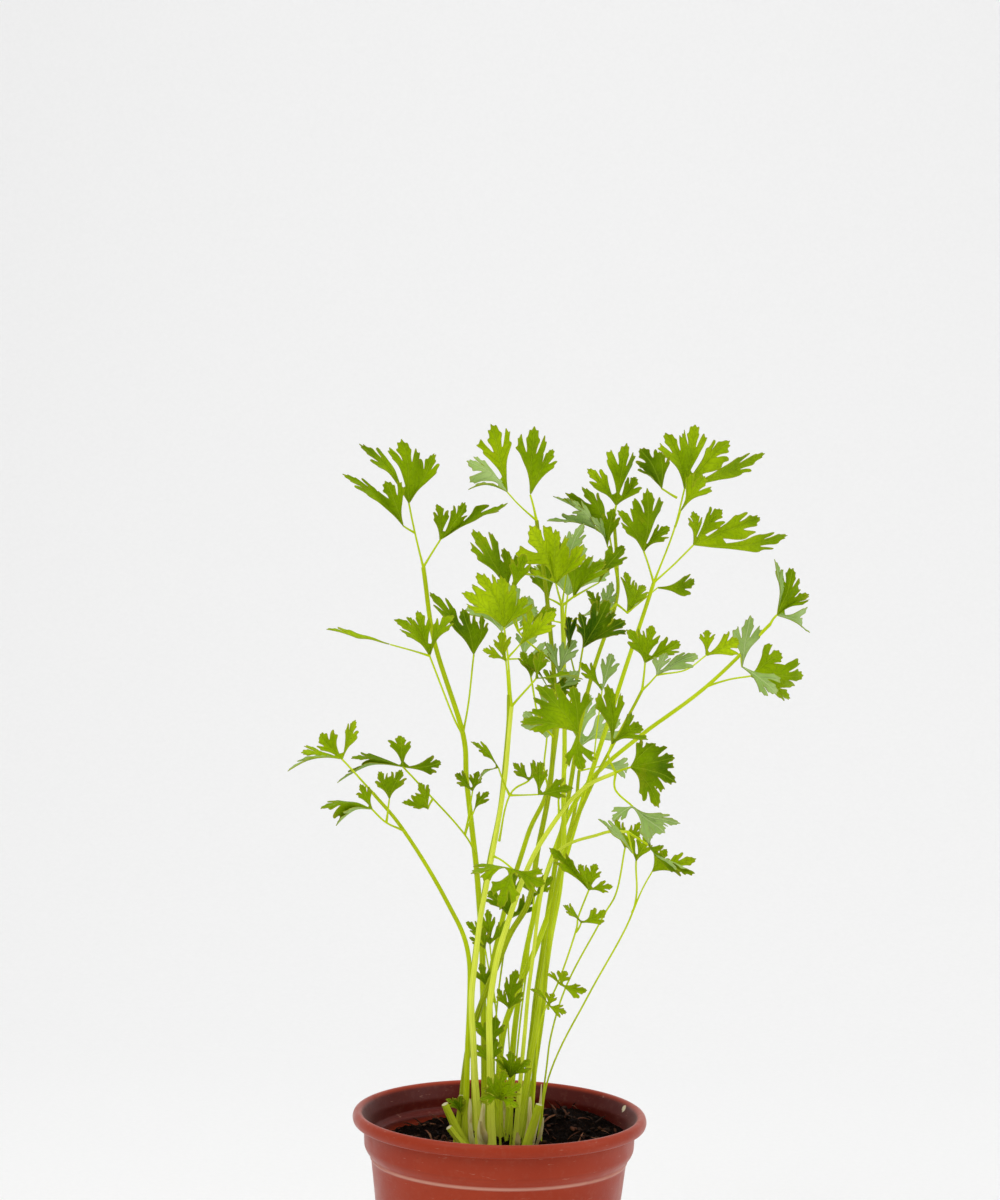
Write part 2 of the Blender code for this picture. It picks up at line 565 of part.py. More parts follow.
def main():
    for old in list(bpy.data.objects):
        bpy.data.objects.remove(old, do_unlink=True)
    parts = new_collection("potted_parsley")
    cutters = new_collection("cutters")
    materials = {name: new_material(name, *look) for name, look in COLOURS.items()}
    make_pot(parts, cutters, materials["terracotta"])
    make_soil(parts, cutters, materials["soil"])
    make_crown(parts, cutters, materials["crown"])
    for name, (foot_radius, top_radius, route) in STALKS.items():
        stalk = tube(name, smooth_route(route, 2), foot_radius, top_radius, parts)
        stalk.data.materials.append(materials["stalk"])
    for name, shoots in LEAVES.items():
        shoots_to_leaf(name, shoots, TWIG_RADIUS, TWIG_START, 1, parts, cutters, materials["leaf"])
    for name, (radius, shoots) in YOUNG_LEAVES.items():
        shoots_to_leaf(name, shoots, radius, 0.0, 2, parts, cutters, materials["leaf"])
    for obj in parts.objects:
        obj.data.shade_smooth()
        obj.data.set_sharp_from_angle(angle=math.radians(40))


main()
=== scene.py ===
"""Looks of the potted flat-leaf parsley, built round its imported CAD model.

Each CAD piece is replaced by one finer piece of the same name. Lengths below are in millimetres, in the CAD
model's frame, and are multiplied by MM where a mesh is made. -Y is the side that the plant turns to.
"""

import math
import random

import bpy
from mathutils import Matrix, Quaternion, Vector, kdtree, noise
from mathutils.geometry import delaunay_2d_cdt


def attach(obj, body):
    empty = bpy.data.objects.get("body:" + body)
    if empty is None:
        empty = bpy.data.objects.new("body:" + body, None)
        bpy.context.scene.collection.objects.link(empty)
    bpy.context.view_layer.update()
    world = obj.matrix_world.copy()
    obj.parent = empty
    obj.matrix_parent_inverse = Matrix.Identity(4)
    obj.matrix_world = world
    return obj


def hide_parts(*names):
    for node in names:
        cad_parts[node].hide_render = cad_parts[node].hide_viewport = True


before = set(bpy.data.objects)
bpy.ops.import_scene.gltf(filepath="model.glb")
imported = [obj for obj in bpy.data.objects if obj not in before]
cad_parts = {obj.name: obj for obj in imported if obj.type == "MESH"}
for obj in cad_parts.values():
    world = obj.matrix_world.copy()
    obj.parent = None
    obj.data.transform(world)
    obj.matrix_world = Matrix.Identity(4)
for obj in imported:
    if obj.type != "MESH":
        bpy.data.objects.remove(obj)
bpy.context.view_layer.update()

MM = 0.001
BODY = "root"
NOISE_SEED = 1

# Stalks: radius at the foot, radius at the top, and the points that the stalk passes through.
STALKS = {
    "stalk_tall_left": (1.4, 0.9, [
        (-6, 5, 95), (-9, 4, 175), (-12, 3, 213), (-18, 0, 256), (-20, 0, 278), (-33, 2, 317),
        (-39, 4, 351)]),
    "stalk_low_left": (1.2, 0.7, [
        (-15, -6, 95), (-15, -11, 140), (-15, -13, 182), (-25, -20, 208), (-44, -30, 239),
        (-57, -40, 256)]),
    "stalk_front_left": (1.4, 0.8, [
        (-8, -12, 95), (-12, -18, 142), (-13, -20, 172), (-8, -22, 214), (-3, -26, 244), (0, -32, 278),
        (1, -36, 294)]),
    "stalk_front_right": (1.5, 0.8, [
        (-3, -17, 95), (-5, -22, 143), (-5, -25, 168), (1, -29, 197), (11, -37, 228), (22, -44, 249),
        (33, -50, 262), (45, -57, 269)]),
    "stalk_crossing": (1.4, 0.8, [
        (-17, 1, 95), (-16, 0, 126), (-12, -4, 151), (1, -10, 188), (10, -12, 206), (14, -14, 230),
        (20, -18, 279), (17, -14, 327), (10, -18, 373)]),
    "stalk_centre": (1.4, 0.8, [
        (7, 2, 95), (13, 0, 134), (20, -3, 184), (24, -4, 215), (25, -6, 250), (24, -6, 300),
        (22, -10, 336)]),
    "stalk_back_right": (1.3, 0.7, [
        (10, 9, 95), (14, 11, 150), (21, 11, 210), (34, 14, 294), (46, 21, 334), (47, 25, 352),
        (45, 28, 375)]),
    "stalk_tall_right": (1.4, 0.8, [
        (0, 0, 95), (0, 2, 140), (6, 4, 163), (20, 5, 200), (32, 6, 245), (47, 10, 294), (63, 16, 346)]),
    "stalk_far_right": (1.3, 0.7, [
        (4, 9, 95), (6, 13, 150), (14, 13, 200), (32, 18, 250), (60, 22, 278), (89, 26, 300),
        (117, 34, 328)]),
    "stalk_mid_right": (1.0, 0.6, [
        (11, -4, 95), (17, -9, 150), (23, -10, 215), (36, -14, 256), (57, -22, 301)]),
    "stalk_arching": (0.9, 0.6, [
        (7, -10, 95), (9, -14, 140), (13, -17, 185), (20, -22, 227), (40, -39, 241), (51, -47, 243)]),
    "stalk_back_left": (1.2, 0.8, [
        (-10, 13, 95), (-13, 20, 142), (-13, 27, 172), (-8, 35, 212), (-3, 42, 242), (0, 47, 275),
        (0, 50, 292)]),
    "stalk_back_middle": (1.3, 0.8, [
        (-4, 17, 95), (-5, 26, 143), (-5, 33, 168), (1, 39, 197), (10, 46, 228), (19, 50, 250),
        (24, 53, 290), (25, 55, 325)]),
    "stalk_back_low": (1.2, 0.7, [
        (12, 15, 95), (13, 22, 134), (20, 31, 184), (25, 37, 215), (31, 45, 240), (33, 50, 258)]),
}

# Leaves: each is a list of shoots, a twig's points and the leaflets that fan from its last point.
# A leaflet is its tip, its width, and how far it is turned about its own length in degrees: past 90 it
# shows its underside.
LEAVES = {
    "leaf_tall_left_top": [
        ([(-39, 4, 351), (-43, 5, 366), (-46, 6, 379)],
         [((-69, -4, 405), 11, 25), ((-50, 10, 408), 16, 0), ((-35, 15, 401), 12, -20)]),
        ([(-43, 5, 366), (-48, 0, 369)], [((-75, -12, 391), 11, 30), ((-57, -5, 389), 13, -10)]),
    ],
    "leaf_tall_left_east": [
        ([(-39, 4, 351), (-32, 11, 363)],
         [((-34, 7, 379), 10, 20), ((-21, 16, 380), 11, 10), ((-2, 27, 380), 12, -35)]),
    ],
    "leaf_tall_left_west": [
        ([(-20, 0, 278), (-25, -8, 288), (-35, -10, 313)],
         [((-51, -14, 329), 13, 15), ((-41, -4, 333), 12, -10), ((-25, -3, 331), 12, -30)]),
        ([(-35, -10, 313), (-52, -17, 318)], [((-80, -23, 324), 11, 35)]),
    ],
    "leaf_tall_left_mid": [
        ([(-20, 0, 278), (-18, 4, 292), (-16, 8, 313)],
         [((-13, 9, 330), 8, 50), ((-22, 15, 333), 12, 0), ((-37, 17, 340), 11, 25)]),
    ],
    "leaf_left_low": [
        ([(-13, 2, 225), (-18, -9, 235), (-32, -20, 252), (-45, -26, 266)],
         [((-46, -20, 279), 11, 10), ((-67, -34, 270), 11, 45), ((-73, -38, 259), 7, 60),
          ((-29, -18, 267), 8, 40)]),
        ([(-32, -20, 252), (-34, -25, 248)], [((-45, -34, 252), 10, 20), ((-38, -30, 260), 9, 20)]),
        ([(-18, -9, 235), (-15, -14, 255)], [((-23, -21, 263), 8, 0), ((-13, -17, 264), 7, 0)]),
    ],
    "leaf_low_left_end": [
        ([(-57, -40, 256), (-70, -48, 271)],
         [((-87, -56, 274), 13, 40), ((-92, -62, 267), 6, 230), ((-80, -44, 281), 10, 0),
          ((-65, -38, 287), 8, 50)]),
    ],
    "leaf_low_left_side": [
        ([(-44, -30, 239), (-51, -42, 244), (-57, -47, 250)],
         [((-78, -61, 251), 10, 50), ((-72, -58, 244), 9, 70), ((-62, -47, 261), 8, 20)]),
        ([(-51, -42, 244), (-50, -41, 254)], [((-55, -43, 266), 9, 30), ((-45, -38, 266), 9, 20)]),
    ],
    "leaf_front_left_top": [
        ([(1, -36, 294), (-1, -38, 315), (-3, -41, 328)],
         [((-22, -50, 343), 14, 10), ((-15, -44, 351), 14, 0), ((-5, -40, 350), 14, 0),
          ((7, -37, 341), 14, -10)]),
    ],
    "leaf_front_left_right": [
        ([(1, -36, 294), (11, -36, 306)], [((13, -34, 318), 8, 30), ((31, -30, 306), 12, -50)]),
        ([(1, -36, 294), (-2, -47, 314)], [((-12, -52, 319), 9, 20), ((-4, -50, 327), 9, 0)]),
    ],
    "leaf_front_left_low": [
        ([(-3, -26, 235), (1, -36, 256), (9, -41, 263)], [((2, -44, 271), 8, 0), ((16, -43, 271), 9, 0)]),
        ([(1, -36, 256), (13, -48, 258)], [((14, -52, 273), 8, 10), ((28, -56, 262), 10, 30)]),
        ([(1, -36, 256), (-4, -40, 268)], [((-16, -44, 279), 8, 40), ((-13, -44, 262), 7, 60)]),
    ],
    "leaf_front_star": [
        ([(-5, -24, 228), (-2, -34, 228), (3, -40, 225)],
         [((-15, -46, 223), 13, 50), ((-2, -50, 209), 14, 15), ((18, -45, 219), 13, 40)]),
    ],
    "leaf_front_right_upper": [
        ([(45, -57, 269), (42, -58, 276), (43, -58, 281)],
         [((40, -62, 307), 15, 10), ((56, -51, 289), 14, 10)]),
    ],
    "leaf_front_right_fan": [
        ([(45, -57, 269), (51, -63, 272)],
         [((61, -66, 283), 11, 10), ((69, -69, 277), 14, 0), ((70, -74, 266), 14, 10),
          ((62, -76, 257), 12, 0)]),
    ],
    "leaf_front_right_hanging": [
        ([(45, -57, 269), (45, -61, 262), (52, -66, 256)],
         [((44, -70, 250), 9, 200), ((65, -72, 245), 14, 200), ((72, -72, 250), 9, 240)]),
    ],
    "leaf_front_centre": [
        ([(22, -44, 249), (22, -52, 262), (29, -52, 285)],
         [((4, -60, 290), 16, 15), ((11, -50, 305), 14, 10), ((27, -47, 304), 14, 0),
          ((31, -62, 270), 15, 10)]),
    ],
    "leaf_top_centre": [
        ([(10, -18, 373), (7, -17, 384)], [((8, -13, 414), 14, 10), ((17, -9, 404), 10, 30)]),
        ([(10, -18, 373), (2, -22, 380), (-3, -24, 385)],
         [((-11, -21, 414), 14, 0), ((-21, -33, 398), 13, 200), ((-20, -36, 385), 8, 240)]),
    ],
    "leaf_inner_left": [
        ([(20, -18, 279), (13, -25, 288), (9, -27, 306)],
         [((4, -25, 317), 9, 10), ((13, -22, 318), 9, 10)]),
    ],
    "leaf_centre_bright": [
        ([(22, -10, 336), (19, -18, 346)],
         [((6, -31, 372), 16, 15), ((18, -26, 370), 14, 0), ((30, -18, 363), 14, -10),
          ((5, -29, 350), 11, 40)]),
    ],
    "leaf_centre_right": [
        ([(22, -10, 336), (27, -7, 340)], [((28, -4, 359), 13, 0), ((41, 0, 356), 13, 0)]),
        ([(27, -7, 340), (38, 0, 346)], [((50, 9, 362), 11, 0)]),
    ],
    "leaf_centre_dark": [
        ([(25, -6, 290), (29, -19, 303), (31, -26, 319)],
         [((29, -31, 335), 11, 30), ((42, -25, 340), 14, 0), ((49, -20, 331), 13, 10)]),
        ([(29, -19, 303), (25, -22, 318)], [((23, -30, 333), 10, 40)]),
    ],
    "leaf_centre_left": [
        ([(24, -6, 300), (19, -20, 312), (3, -31, 326), (-2, -34, 344)],
         [((-17, -44, 370), 14, 0), ((-4, -36, 362), 13, -10)]),
        ([(3, -31, 326), (0, -38, 343)], [((5, -42, 359), 11, 20)]),
        ([(3, -31, 326), (8, -30, 330)], [((19, -27, 336), 9, 40)]),
    ],
    "leaf_back_right_top": [
        ([(45, 28, 375), (46, 28, 380)],
         [((50, 25, 409), 15, 0), ((32, 24, 396), 12, 0), ((55, 34, 393), 10, 20)]),
    ],
    "leaf_back_right_side": [
        ([(47, 21, 336), (52, 25, 332)], [((51, 32, 350), 10, 40), ((60, 38, 344), 9, 20)]),
        ([(52, 25, 332), (66, 38, 343)], [((84, 48, 346), 12, 50)]),
    ],
    "leaf_back_right_flat": [
        ([(47, 24, 348), (43, 18, 366)], [((17, 8, 384), 15, 55), ((30, 15, 388), 12, 30)]),
    ],
    "leaf_tall_right_inner": [
        ([(63, 16, 346), (58, 12, 360)],
         [((58, 4, 389), 14, 0), ((45, 3, 378), 13, 10), ((70, 14, 371), 11, -10)]),
    ],
    "leaf_tall_right_crown": [
        ([(63, 16, 346), (72, 19, 371), (76, 22, 388)],
         [((66, 18, 413), 13, 0), ((80, 25, 417), 14, 0), ((97, 36, 410), 12, 30),
          ((114, 50, 405), 10, 50)]),
        ([(72, 19, 371), (74, 15, 378)], [((85, 20, 394), 13, 10)]),
    ],
    "leaf_tall_right_west": [
        ([(72, 13, 384), (65, 9, 388)],
         [((55, 4, 406), 12, 0), ((63, 5, 404), 9, 20), ((54, 0, 396), 8, 30)]),
    ],
    "leaf_tall_right_east": [
        ([(63, 16, 346), (71, 25, 353), (81, 27, 363)],
         [((80, 25, 379), 10, 20), ((95, 34, 379), 12, 10), ((112, 43, 376), 11, 30),
          ((126, 52, 368), 9, 50)]),
    ],
    "leaf_mid_right": [
        ([(57, -22, 301), (58, -22, 313)],
         [((49, -28, 328), 12, 0), ((61, -23, 329), 11, 10), ((73, -18, 323), 11, 0)]),
        ([(57, -22, 301), (63, -25, 308)], [((80, -30, 317), 12, 200), ((66, -34, 318), 9, 210)]),
        ([(63, -25, 308), (76, -17, 310), (85, -11, 316)],
         [((85, -9, 327), 9, 10), ((100, -2, 322), 12, 30)]),
    ],
    "leaf_far_right_end": [
        ([(117, 34, 328), (120, 36, 332)],
         [((117, 30, 358), 7, 240), ((127, 34, 354), 13, 0), ((135, 42, 342), 13, 0),
          ((133, 54, 326), 13, 200)]),
    ],
    "leaf_far_right_mid": [
        ([(104, 30, 314), (104, 25, 309)], [((106, 15, 333), 13, 190), ((120, 22, 297), 13, 180)]),
    ],
    "leaf_far_right_veined": [
        ([(89, 26, 300), (100, 33, 303), (109, 38, 304)],
         [((124, 46, 315), 14, 10), ((135, 53, 304), 14, 10), ((129, 55, 293), 12, 0)]),
    ],
    "leaf_arching": [
        ([(51, -47, 243), (60, -52, 238)],
         [((79, -66, 229), 11, 60), ((67, -62, 233), 9, 40), ((59, -58, 250), 10, 190)]),
        ([(51, -47, 243), (53, -55, 235)], [((38, -54, 249), 12, 220)]),
    ],
    "leaf_back_left_top": [
        ([(0, 50, 292), (-2, 53, 308), (-4, 55, 321)],
         [((-17, 61, 338), 14, 160), ((-4, 60, 346), 15, 180), ((9, 63, 338), 14, 200)]),
        ([(-2, 53, 308), (6, 60, 308)], [((20, 68, 312), 11, 210), ((8, 66, 322), 11, 180)]),
    ],
    "leaf_back_middle_top": [
        ([(25, 55, 325), (26, 58, 338)],
         [((12, 61, 356), 14, 170), ((27, 61, 367), 15, 180), ((43, 65, 355), 14, 190)]),
        ([(25, 55, 325), (33, 63, 328)], [((48, 75, 332), 13, 230)]),
        ([(25, 55, 325), (18, 63, 326)], [((4, 77, 330), 13, 130)]),
    ],
    "leaf_back_middle_side": [
        ([(19, 50, 250), (17, 57, 259), (18, 59, 272)],
         [((7, 63, 283), 12, 150), ((20, 65, 295), 13, 180), ((29, 64, 285), 10, 205)]),
    ],
    "leaf_back_low_top": [
        ([(33, 50, 258), (33, 58, 268)],
         [((27, 69, 284), 12, 180), ((38, 68, 292), 13, 180), ((52, 71, 281), 13, 200)]),
        ([(33, 50, 258), (42, 60, 259)], [((56, 73, 258), 12, 230)]),
    ],
}

# Whole young leaves, stalk and leaflets in one: radius at the foot, then shoots as above.
YOUNG_LEAVES = {
    "young_leaf_right": (0.7, [
        ([(18, -2, 95), (21, -5, 128), (37, -14, 166), (55, -24, 205), (56, -28, 228)],
         [((50, -32, 240), 8, 20), ((61, -33, 240), 8, 20)]),
        ([(55, -24, 205), (63, -30, 224)], [((69, -34, 235), 9, 0), ((81, -40, 231), 10, 30)]),
    ]),
    "young_leaf_middle": (0.6, [
        ([(17, 6, 95), (20, 5, 128), (22, 4, 146), (29, 1, 170), (43, -3, 199), (49, -5, 211),
          (52, -9, 231)],
         [((47, -13, 244), 7, 20), ((58, -12, 243), 7, 20)]),
    ]),
    "young_leaf_left": (0.6, [
        ([(14, -9, 95), (15, -11, 125), (17, -14, 154), (24, -19, 173), (31, -24, 196), (32, -26, 203),
          (36, -28, 215)],
         [((18, -34, 234), 11, 20), ((31, -34, 227), 7, 10), ((39, -32, 227), 9, 0),
          ((46, -35, 218), 6, 40)]),
        ([(31, -24, 196), (33, -29, 201)], [((25, -32, 209), 8, 30), ((44, -33, 207), 9, 30)]),
        ([(24, -19, 173), (25, -24, 173)],
         [((18, -27, 178), 6, 30), ((27, -28, 180), 7, 10), ((36, -28, 172), 8, 40)]),
    ]),
    "young_leaf_inner": (0.8, [
        ([(3, -6, 95), (5, -4, 118), (7, -3, 140), (10, 0, 171), (13, -4, 208)],
         [((21, -10, 218), 9, 0), ((6, -8, 219), 9, 10)]),
        ([(5, -4, 118), (1, -5, 134), (-3, -1, 160), (-6, -1, 186)],
         [((-17, -4, 196), 8, 20), ((-7, -3, 202), 8, 0), ((2, -2, 197), 7, 10)]),
        ([(-3, -1, 160), (-6, 0, 164)], [((-10, -2, 178), 8, 0)]),
        ([(1, -5, 134), (-5, -9, 142)], [((-13, -9, 153), 9, 10), ((-3, -10, 157), 10, 0)]),
    ]),
    "young_leaf_back": (0.8, [
        ([(-2, 14, 95), (-3, 16, 140), (0, 20, 175), (3, 22, 194)],
         [((-7, 25, 206), 11, 10), ((3, 28, 214), 12, 0), ((13, 25, 204), 11, 20)]),
    ]),
    "young_leaf_bright": (0.6, [
        ([(1, -19, 95), (0, -26, 112), (0, -31, 124)],
         [((-9, -38, 125), 9, 10), ((-6, -38, 135), 9, 0), ((2, -37, 138), 9, 0), ((9, -37, 132), 9, 0),
          ((8, -38, 122), 8, 10)]),
    ]),
}

# Cut stubs of harvested stalks: radius, foot and cut end. They are one with the crown.
STUBS = [
    (1.7, (-13, -11, 96), (-24, -16, 118)),
    (1.4, (-10, -16, 95), (-22, -21, 109)),
    (1.7, (10, -15, 95), (17, -17, 119)),
    (1.3, (-19, -4, 95), (-17, -8, 120)),
    (1.1, (13, 2, 95), (14, 3, 113)),
]

# Tone of a leaf or stalk, bright (near 1) to dark (near 0): partly its own colour (young and bright, or old
# and dark) and partly painted light and shade, lighter for the stalks in front and darker for those at the
# back and for leaves deep in the plant. Others are in between.
TONE_AND_SHADE = {
    "leaf_centre_bright": 0.85,
    "leaf_tall_right_crown": 0.6,
    "leaf_tall_right_east": 0.65,
    "leaf_tall_right_west": 0.2,
    "leaf_back_right_flat": 0.35,
    "leaf_centre_dark": 0.08,
    "leaf_front_left_top": 0.75,
    "leaf_front_centre": 0.5,
    "leaf_front_star": 0.55,
    "leaf_front_right_fan": 0.3,
    "leaf_front_right_upper": 0.4,
    "leaf_low_left_end": 0.7,
    "leaf_low_left_side": 0.4,
    "leaf_left_low": 0.4,
    "young_leaf_bright": 0.5,
    "young_leaf_back": 0.15,
    "stalk_front_left": 0.95,
    "stalk_front_right": 0.85,
    "stalk_tall_left": 0.35,
    "stalk_low_left": 0.4,
    "stalk_crossing": 0.12,
    "stalk_centre": 0.6,
    "stalk_back_right": 0.25,
    "stalk_tall_right": 0.5,
    "stalk_far_right": 0.5,
    "stalk_mid_right": 0.3,
    "stalk_arching": 0.8,
    "stalk_back_left": 0.2,
    "stalk_back_middle": 0.25,
    "stalk_back_low": 0.2,
}

# Side leaflets too fine for the CAD model, by the leaf that they grow from.
FINE_SHOOTS = {
    "young_leaf_inner": [
        ([(5, -4, 118), (3, -10, 150), (3, -14, 160)],
         [((-2, -17, 170), 7, 10), ((6, -16, 178), 9, 0), ((9, -15, 168), 6, 30)]),
        ([(3, -6, 100), (-3, -7, 122), (-5, -8, 134)], [((-11, -9, 143), 8, 0), ((-2, -9, 146), 8, 0)]),
        ([(5, -10, 98), (5, -18, 122), (4, -24, 132)],
         [((-3, -29, 141), 8, 20), ((4, -30, 145), 9, 0), ((12, -27, 141), 8, 30)]),
        ([(-3, -1, 160), (-8, -2, 184)], [((-15, -4, 189), 6, 30), ((-9, -4, 194), 5, 0)]),
    ],
    "young_leaf_left": [
        ([(20, -17, 161), (20, -20, 163)],
         [((12, -23, 171), 6, 40), ((22, -25, 170), 6, 10), ((28, -24, 161), 7, 40)]),
    ],
    "young_leaf_back": [
        ([(-10, -6, 98), (-15, -8, 110), (-17, -10, 113)],
         [((-24, -11, 119), 7, 20), ((-17, -12, 121), 6, 0)]),
    ],
    "leaf_centre_dark": [
        ([(25, -6, 290), (22, -16, 303), (21, -19, 307)],
         [((14, -25, 321), 9, 195), ((28, -22, 322), 10, 190)]),
        ([(22, -16, 303), (16, -22, 302)], [((5, -28, 312), 9, 40), ((30, -27, 303), 9, 60)]),
    ],
    "leaf_front_left_top": [
        ([(-1, -38, 315), (4, -42, 321)], [((8, -46, 336), 9, 10), ((19, -42, 335), 11, 20)]),
    ],
    "leaf_centre_right": [
        ([(22, -8, 336), (16, -6, 339)], [((6, -8, 353), 10, 20), ((14, -6, 358), 10, 0)]),
        ([(22, -8, 336), (24, -2, 352)], [((16, 0, 368), 9, 20), ((31, 2, 372), 10, 170)]),
    ],
    "leaf_back_right_flat": [
        ([(43, 18, 366), (37, 14, 369)], [((15, 6, 373), 12, 215), ((25, 5, 382), 9, 200)]),
        ([(47, 24, 352), (42, 16, 362)], [((34, 9, 375), 9, 200), ((44, 8, 379), 9, 10)]),
    ],
    "leaf_back_right_side": [
        ([(47, 21, 336), (40, 12, 330)], [((33, 6, 343), 9, 10), ((44, 6, 347), 9, 190)]),
    ],
    "leaf_inner_left": [
        ([(13, -25, 288), (20, -26, 300)], [((14, -30, 309), 7, 20), ((29, -28, 310), 9, 200)]),
    ],
    "leaf_mid_right": [
        ([(36, -14, 256), (40, -16, 300)], [((30, -18, 313), 9, 20), ((44, -16, 316), 9, 200)]),
    ],
    "leaf_left_low": [
        ([(-18, -9, 235), (-14, -16, 247)], [((-8, -22, 256), 7, 30)]),
    ],
}

# Pot
POT_HEIGHT = 112.0
POT_WALL = 1.2
LIP_RADIUS = 65.0
BAND_RADIUS = 59.5
LEDGE_HEIGHT = 99.2
LEDGE_RADIUS = BAND_RADIUS - 4.4
CREASE_HEIGHT = 90.5
BASE_RADIUS = 45.0
FLOOR_THICKNESS = 2.0
POT_STEPS = 160
DRAIN_HOLES = 6
DRAIN_RADIUS = 4.0
DRAIN_CIRCLE = 29.0
CHIP_PLACE = (0.0548, 0.0215, 0.1095)

# Potting mix and crown
CLEARANCE = 0.3
SOIL_LEVEL = 97.0
SOIL_RADIUS = 56.0
HEAP_PLACE = (27, 30)
HEAP_HEIGHT = 6.0
HEAP_SPREAD = 420.0
BARK_BITS = 420
BARK_REACH = 53.5
SOIL_RINGS = 90
SOIL_STEPS = 260
CROWN_RADIUS = 21.5
CROWN_TOP = 101.0
STUB_SAG = 0.9
SHEATH_THICKNESS = 0.28
SHEATH_ROWS = 14
SHEATH_COLUMNS = 6

# Plant
FACING = Vector((0.0, -0.8, 0.6))
BLADE_THICKNESS = 0.3
BLADE_SPACING = 1.3
TWIG_RADIUS = 0.42
RIB_DEPTH = 0.07
CORNER_CUT = 0.24
MIDRIB_STEP = 1.6
LEAST_SPREAD = math.radians(16)
WIDEST_WEB = math.radians(115)
LEVEL_SLOPE = 0.1
DROOP = 0.08

# Camera and backdrop
CAMERA_PLACE = Vector((-5.0, -1200.0, 391.0))
CAMERA_TILT = math.radians(90.0 - 2.55)
CAMERA_ROLL = math.radians(1.3)
LENS = 82.3
STAGE_WIDTH, STAGE_FRONT, STAGE_BACK, STAGE_BEND, STAGE_TOP = 6000, -3000, 1500, 900, 4500
BEND_STEPS = 16

# Margin of half a leaflet, base to tip: x is the share of the width, y the share of the length.
BROAD_MARGIN = [
    (0.025, 0.0), (0.04, 0.15), (0.11, 0.32), (0.23, 0.46), (0.37, 0.57), (0.485, 0.655),
    (0.415, 0.685), (0.5, 0.8), (0.4, 0.79), (0.375, 0.875), (0.27, 0.76), (0.13, 0.59),
    (0.15, 0.71), (0.225, 0.82), (0.15, 0.84), (0.145, 0.94), (0.06, 0.925),
]
SMALL_MARGIN = [
    (0.035, 0.0), (0.05, 0.15), (0.14, 0.34), (0.29, 0.5), (0.43, 0.62), (0.36, 0.665),
    (0.44, 0.79), (0.31, 0.79), (0.13, 0.62), (0.16, 0.74), (0.235, 0.85), (0.14, 0.87),
    (0.12, 0.955), (0.05, 0.945),
]
SMALL_WIDTH = 13

# Kinds of surface on a plant piece, in the order of its material slots.
TOP, UNDER, STEM = range(3)


def smoothstep(value):
    value = min(1.0, max(0.0, value))
    return value * value * (3.0 - 2.0 * value)


def smooth_route(points, steps):
    """Points along a smooth curve that passes through the given ones."""
    route = [Vector(point) for point in points]
    padded = [route[0] * 2 - route[1], *route, route[-1] * 2 - route[-2]]
    smooth = []
    for before, start, end, after in zip(padded, padded[1:], padded[2:], padded[3:]):
        for step in range(steps):
            t = step / steps
            smooth.append(0.5 * (2 * start + (end - before) * t
                                 + (2 * before - 5 * start + 4 * end - after) * t * t
                                 + (3 * start - before - 3 * end + after) * t ** 3))
    return [*smooth, route[-1]]


class Shape:
    """The vertices and faces of one piece, with what its materials need to know at each vertex."""

    def __init__(self):
        self.points = []
        self.faces = []
        self.kinds = []
        self.details = []
        self.tones = []

    def add(self, points, faces, kind, details=None, tone=0.5):
        start = len(self.points)
        self.points.extend(points)
        self.faces.extend([tuple(start + index for index in face) for face in faces])
        self.kinds.extend(kind if isinstance(kind, list) else [kind] * len(faces))
        self.details.extend(details or [(0.0, 0.0, 0.0)] * len(points))
        self.tones.extend([tone] * len(points))

    def build(self, name, materials, crease=50.0):
        mesh = bpy.data.meshes.new(name)
        mesh.from_pydata([Vector(point) * MM for point in self.points], [], self.faces)
        for used in materials:
            mesh.materials.append(used)
        mesh.polygons.foreach_set("material_index", self.kinds)
        detail = mesh.attributes.new("detail", "FLOAT_VECTOR", "POINT")
        detail.data.foreach_set("vector", [value for spot in self.details for value in spot])
        tone = mesh.attributes.new("tone", "FLOAT", "POINT")
        tone.data.foreach_set("value", self.tones)
        mesh.shade_smooth()
        mesh.set_sharp_from_angle(angle=math.radians(crease))
        mesh.update()
        obj = bpy.data.objects.new(name, mesh)
        bpy.context.scene.collection.objects.link(obj)
        return obj


def finish_piece(obj, slot, *nodes):
    """Puts a piece on the model's one body, in place of its CAD nodes if it has any."""
    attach(obj, BODY)
    if nodes:
        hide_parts(*nodes)
    return obj


# ---------------------------------------------------------------- materials


